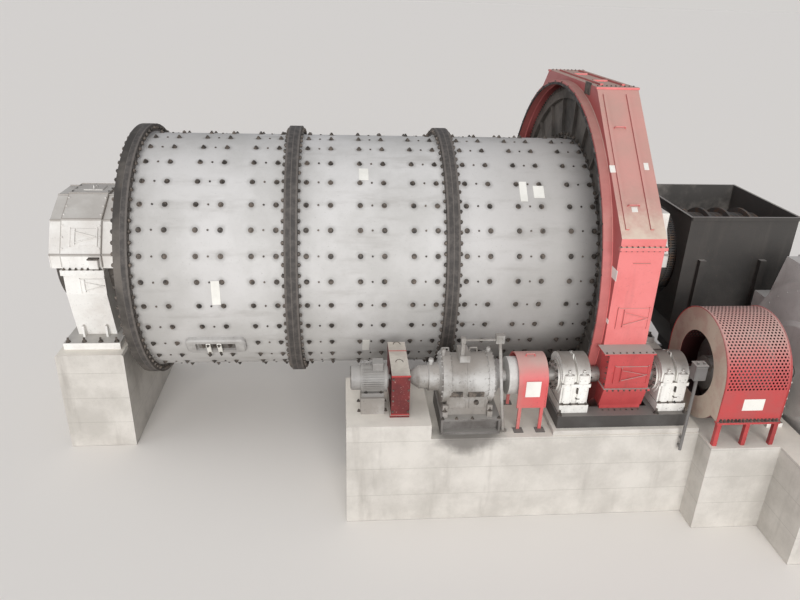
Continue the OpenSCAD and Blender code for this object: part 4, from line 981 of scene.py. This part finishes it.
cowl_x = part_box("inching_motor")[0].x - 0.004
block_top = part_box("drive_block")[1].z
motor_paint = weathered("motor_paint", (0.62, 0.61, 0.595), (0.52, 0.505, 0.49), 0.5, 0.5, 0.45)
motor_paint.cover("inching_motor")
main_motor_paint = weathered(
    "main_motor_paint", (0.80, 0.79, 0.775), (0.74, 0.725, 0.71), 0.5, 0.25, 0.45)
main_motor_paint.cover("main_motor")
post_paint = weathered("post_paint", (0.44, 0.43, 0.42), (0.38, 0.365, 0.355), 0.9, 0.5, 0.45)
post_paint.cover("junction_post")
fins = bmesh.new()
for count in range(40):
    turn = radians(9.0 * count)
    under_motor = sin(turn) < -0.62
    under_box = abs(cos(turn)) < 0.45 and sin(turn) > 0
    if not (under_motor or under_box):
        place = at(0, pinion_y, pinion_z) @ Matrix.Rotation(turn, 4, "X")
        slab(fins, (-6.16, 0.255, -0.006), (-5.74, 0.285, 0.006), 0.0, place)
for x0, x1 in ((-6.175, -6.12), (-5.745, -5.69)):
    rod(fins, (x0, pinion_y, pinion_z), (x1, pinion_y, pinion_z), 0.272, 36)
slab(fins, (-5.962, -3.972, 3.185), (-5.756, -3.736, 3.212), 0.008)
handle(fins, at(-6.05, pinion_y, pinion_z + 0.255), 0.10, 0.07, 0.012)
piece("inching_motor_fins", fins, "fixed", motor_paint)
grille = bmesh.new()
for radius in (0.05, 0.09, 0.13, 0.17, 0.205):
    bent_bar(grille, [round_pinion(cowl_x, radius, radians(15.0 * step)) for step in range(25)], 0.006)
stamp(grille, joint_bolt, [
    at(x, pinion_y + y, 2.635) for x in (-6.08, -5.80) for y in (-0.225, 0.225)])
stamp(grille, joint_bolt, [
    at(x, pinion_y + y, block_top) for x in (-6.21, -5.70) for y in (-0.171, 0.171)])
steel_piece("inching_motor_bolts", grille)

box_x0 = -5.62
box_x1 = -5.268
box_front = -4.19
box_split_z = 3.06
box_paint = Finish("box_paint")
box_cloud = box_paint.noise(2.0, 6.0, 0.65)
box_grit = box_paint.noise(30.0, 4.0, 0.65)
box_cream_part = box_paint.z.band(box_split_z - 0.005, box_split_z + 0.005).larger(box_paint.facing_up())
box_red = box_paint.mix((0.36, 0.115, 0.115), (0.43, 0.15, 0.145), box_cloud.band(0.4, 0.62))
box_cream = box_paint.mix((0.79, 0.76, 0.71), (0.70, 0.665, 0.62), box_cloud.band(0.4, 0.64))
box_paint.shade({
    "Base Color": box_paint.layers(
        box_red, (box_cream, box_cream_part), ((0.74, 0.60, 0.56), box_grit.band(0.62, 0.70) * 0.7)),
    "Roughness": 0.5 + 0.3 * box_cloud,
    "Normal": box_paint.bump(box_grit + box_cloud, 0.003, 0.5),
})
box_paint.cover("inching_drive_guard")
red_line = weathered("red_line", (0.72, 0.22, 0.21), (0.62, 0.20, 0.20), 0.2, 0.3)
lines = bmesh.new()
for y, low in ((-3.238, 3.078), (-4.196, box_split_z)):
    slab(lines, (box_x0, y - 0.006, low), (box_x1, y + 0.012, 3.086), 0.002)
slab(lines, (box_x0, box_front - 0.007, 2.235), (box_x1, box_front + 0.004, 2.262), 0.002)
piece("box_guard_lines", lines, "fixed", red_line)
arcs = bmesh.new()
for y in (-2.97, -3.68):
    turns = [radians(22.5 * step) for step in range(9)]
    bent_bar(arcs, [(-5.44 + 0.07 * cos(turn), y + 0.10 * sin(turn), 3.083) for turn in turns], 0.007)
stamp(arcs, plug_bolt, [
    aim((x, box_front, z), (0, -1, 0)) for x in (-5.585, -5.30) for z in (2.32, 2.55, 2.78, 3.01)])
steel_piece("box_guard_handles", arcs)

# The clutch guard: an arch of perforated sheet between two side plates, with a plain
# band below that is bolted to a strip on legs. The holes are cut through by the finish.

arch_z = 3.072
arch_r = 1.08
side_x0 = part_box("clutch_guard")[0].x + 0.003
side_x1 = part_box("clutch_guard")[1].x - 0.003
strip_low = 2.42
pitch_along = 0.070
pitch_round = 0.118
clutch_paint = Finish("clutch_paint")
clutch_cloud = clutch_paint.noise(1.4, 6.0, 0.65)
clutch_grit = clutch_paint.noise(26.0, 4.0, 0.65)
clutch_top = clutch_paint.facing_up()
over_arch = clutch_paint.z - arch_z
beside_arch = clutch_paint.y - pinion_y
risen = over_arch.larger(0.0)
from_arch = risen.length_with(beside_arch)
round_arch = risen.turn_from(beside_arch)
below_arch = over_arch.smaller(0.0) * abs(beside_arch) / beside_arch
travel = (round_arch * arch_r - below_arch) / pitch_round
columns = clutch_paint.x / pitch_along
on_row = (travel.off_centre() * pitch_round).length_with(columns.off_centre() * pitch_along)
between_rows = ((travel + 0.5).off_centre() * pitch_round).length_with(
    (columns + 0.5).off_centre() * pitch_along)
sheet = from_arch.band(arch_r - 0.03, arch_r - 0.02) * over_arch.band(-0.012, -0.002)
sheet = sheet * clutch_paint.x.between(side_x0 + 0.042, side_x1 - 0.042, 0.005)
holes = on_row.smaller(between_rows).fade(0.0185, 0.0205) * sheet
on_side = clutch_paint.x.fade(side_x0 - 0.002, side_x0 + 0.003)
# The inside of the guard is painted near black: painted shade within the arch.
inner_shade = from_arch.fade(arch_r - 0.009, arch_r - 0.004)
inner_shade = inner_shade * clutch_paint.x.between(side_x0 + 0.003, side_x1 - 0.003, 0.003)
edge_red = clutch_paint.mix((0.72, 0.27, 0.27), (0.68, 0.30, 0.295), clutch_cloud.band(0.4, 0.62))
side_grey = clutch_paint.mix((0.80, 0.75, 0.68), (0.76, 0.66, 0.60), clutch_cloud.band(0.45, 0.62))
clutch_paint.shade({
    "Base Color": clutch_paint.layers(
        edge_red, (side_grey, on_side * 0.95),
        ((0.74, 0.66, 0.62), clutch_top * (0.45 + 0.5 * clutch_cloud)),
        (grime, clutch_grit.band(0.60, 0.74) * 0.35), ((0.17, 0.125, 0.12), inner_shade * 0.9)),
    "Roughness": 0.42 + 0.4 * clutch_top,
    "Alpha": 1.0 - holes,
    "Normal": clutch_paint.bump(0.5 * clutch_grit + 0.5 * clutch_cloud, 0.004, 0.5),
})
clutch_paint.cover("clutch_guard")
stand_paint = weathered("stand_paint", (0.74, 0.27, 0.27), (0.60, 0.22, 0.22), 0.6, 0.5)
stand_paint.cover("clutch_guard_stand")
trim = bmesh.new()
trim_r = arch_r + 0.002
for x in (side_x0, side_x1):
    turns = [radians(5.0 * step) for step in range(37)]
    bent_bar(trim, [(x, pinion_y + trim_r * cos(turn), arch_z + trim_r * sin(turn)) for turn in turns],
             0.011)
for side in (-1, 1):
    slab(trim, (side_x0 + 0.002, pinion_y + side * (arch_r - 0.001), strip_low),
         (side_x1 - 0.002, pinion_y + side * (arch_r + 0.008), strip_low + 0.05), 0.002)
for side in (-1, 1):
    y = pinion_y + side * trim_r
    for x in (side_x0, side_x1):
        rod(trim, (x, y, strip_low), (x, y, arch_z), 0.011, 6)
piece("clutch_guard_trim", trim, "fixed", stand_paint)
clutch_card = bmesh.new()
card(clutch_card, aim((0.955, pinion_y - 1.0805, 2.775), (0, -1, 0)), 0.40, 0.24)
piece("clutch_guard_plate", clutch_card, "fixed", bare_plate)
clutch_bolts = bmesh.new()
for side in (-1, 1):
    y, z = pinion_y + side * (arch_r + 0.008), strip_low + 0.025
    stamp(clutch_bolts, joint_bolt, row_of((0.40, y, z), (1.48, y, z), 16, (0, side, 0)))
steel_piece("clutch_guard_bolts", clutch_bolts)

# The junction box on its post, and the main motor: a heavy frame with two round end
# bells, ribs, side covers and feet that are bolted to the concrete.

box_details = bmesh.new()
slab(box_details, (-0.19, -4.70, 3.475), (0.05, -4.50, 3.495), 0.006)
slab(box_details, (-0.165, -4.697, 3.21), (0.025, -4.689, 3.45), 0.003)
for x in (-0.13, -0.01):
    rod(box_details, (x, -4.63, 3.49), (x, -4.63, 3.535), 0.022, 12)
piece("junction_box_lid", box_details, "fixed", post_paint)

rib_xs = (2.82, 3.20, 3.58)
rib_half = 0.015
frame_bends = ((1.27, 1.943), (1.602, 0.667), (1.81, -0.132), (1.81, -0.60))
bell_bolts = 32
bell_bolt_r = 1.575
ribs = bmesh.new()
motor_bolts = bmesh.new()
for x in rib_xs:
    for side in (-1, 1):
        corners = [Vector((x, pinion_y + side * y, pinion_z + z)) for y, z in frame_bends]
        for start, end in zip(corners, corners[1:]):
            run = end - start
            half, run = run.length / 2, run.normalized()
            out = Vector((0, -run.z, run.y)) * side
            slab(ribs, (-rib_half, -half, -0.02), (rib_half, half, 0.06), 0.0,
                 aim((start + end) / 2, out, run))
    slab(ribs, (x - rib_half, pinion_y - 1.27, pinion_z + 1.93),
         (x + rib_half, pinion_y + 1.27, pinion_z + 2.0))
for side in (-1, 1):
    for x in (2.66, 3.20, 3.74):
        slab(ribs, (x - 0.02, pinion_y + side * 1.78, 2.19), (x + 0.02, pinion_y + side * 2.06, 2.42))
    stamp(motor_bolts, anchor, [at(x, pinion_y + side * 2.02, 2.2) for x in (2.80, 3.05, 3.35, 3.60)])
bell_bolt = bolt_form(0.018, 0.014)
for x, out in ((2.459, -1), (3.941, 1)):
    stamp(ribs, bell_bolt, [
        Matrix.Translation(round_pinion(x, bell_bolt_r, 2 * pi * count / bell_bolts)) @ facing_x(out)
        for count in range(bell_bolts)])
for x in (2.85, 3.55):
    top = at(x, pinion_y, pinion_z + 1.94)
    handle(ribs, top @ Matrix.Rotation(radians(90), 4, "Z"), 0.24, 0.16, 0.03)
door(ribs, aim((3.20, pinion_y - 1.706, pinion_z + 0.27), (0, -0.968, 0.252)), 0.5, 0.4)
piece("motor_ribs", ribs, "fixed", main_motor_paint)
steel_piece("motor_bolts", motor_bolts)

pedestal = bmesh.new()
for x in (1.90, 4.32):
    for z in (2.12, 2.30, 2.48, 2.66, 2.84):
        for side in (-1, 1):
            slab(pedestal, (x - 0.17, pinion_y + side * 0.475, z),
                 (x + 0.17, pinion_y + side * 0.43, z + 0.035), 0.004)
    slab(pedestal, (x - 0.12, pinion_y - 0.12, pinion_z + 0.42),
         (x + 0.12, pinion_y + 0.12, pinion_z + 0.47), 0.01)
piece("pedestal_ribs", pedestal, "fixed", pinion_bearing_paint)

# The discharge hopper: welded black plate, open at the top, with an angle rim and
# stiffening flats, rubbed and dusty inside, on four legs.

hopper_paint = Finish("hopper_paint")
hopper_cloud = hopper_paint.noise(0.9, 6.0, 0.65)
hopper_runs = hopper_paint.noise(3.2, 6.0, 0.65, (1.0, 1.0, 0.10))
hopper_grit = hopper_paint.noise(20.0, 5.0, 0.7)
inside_back = hopper_paint.y.band(1.30, 1.345) * hopper_paint.y.fade(1.358, 1.362)
haze = inside_back * hopper_paint.z.band(3.4, 4.4) * hopper_cloud.band(0.36, 0.66) * 0.6
hopper_paint.shade({
    "Base Color": hopper_paint.layers(
        (0.185, 0.177, 0.168), ((0.25, 0.238, 0.225), hopper_cloud.band(0.4, 0.66)),
        ((0.31, 0.295, 0.28), hopper_paint.z.band(3.3, 5.1) * 0.45),
        ((0.42, 0.39, 0.36), hopper_runs.band(0.52, 0.76) * 0.18), ((0.58, 0.55, 0.52), haze),
        ((0.42, 0.33, 0.26), hopper_grit.band(0.62, 0.74) * 0.4),
        ((0.58, 0.56, 0.54), hopper_paint.facing_up() * 0.8)),
    "Roughness": 0.5 + 0.35 * hopper_cloud,
    "Normal": hopper_paint.bump(hopper_grit + hopper_cloud, 0.005, 0.5),
})
hopper_paint.cover("hopper", "hopper_stand")

leg_y = 1.43
plate_half = 0.13
flats = bmesh.new()
feet = bmesh.new()
for side in (-1, 1):
    slab(flats, (1.0, side * 1.37, 5.16), (3.42, side * 1.405, 5.228))
piece("hopper_flats", flats, "fixed", hopper_paint)
for x in (1.395, 2.79):
    for y in (-leg_y, leg_y):
        slab(feet, (x - plate_half, y - plate_half, 0.0), (x + plate_half, y + plate_half, 0.02), 0.003)
        stamp(feet, joint_bolt, [
            at(x + across, y + back, 0.02) for across in (-0.1, 0.1) for back in (-0.1, 0.1)])
piece("hopper_feet", feet, "fixed", hopper_paint)
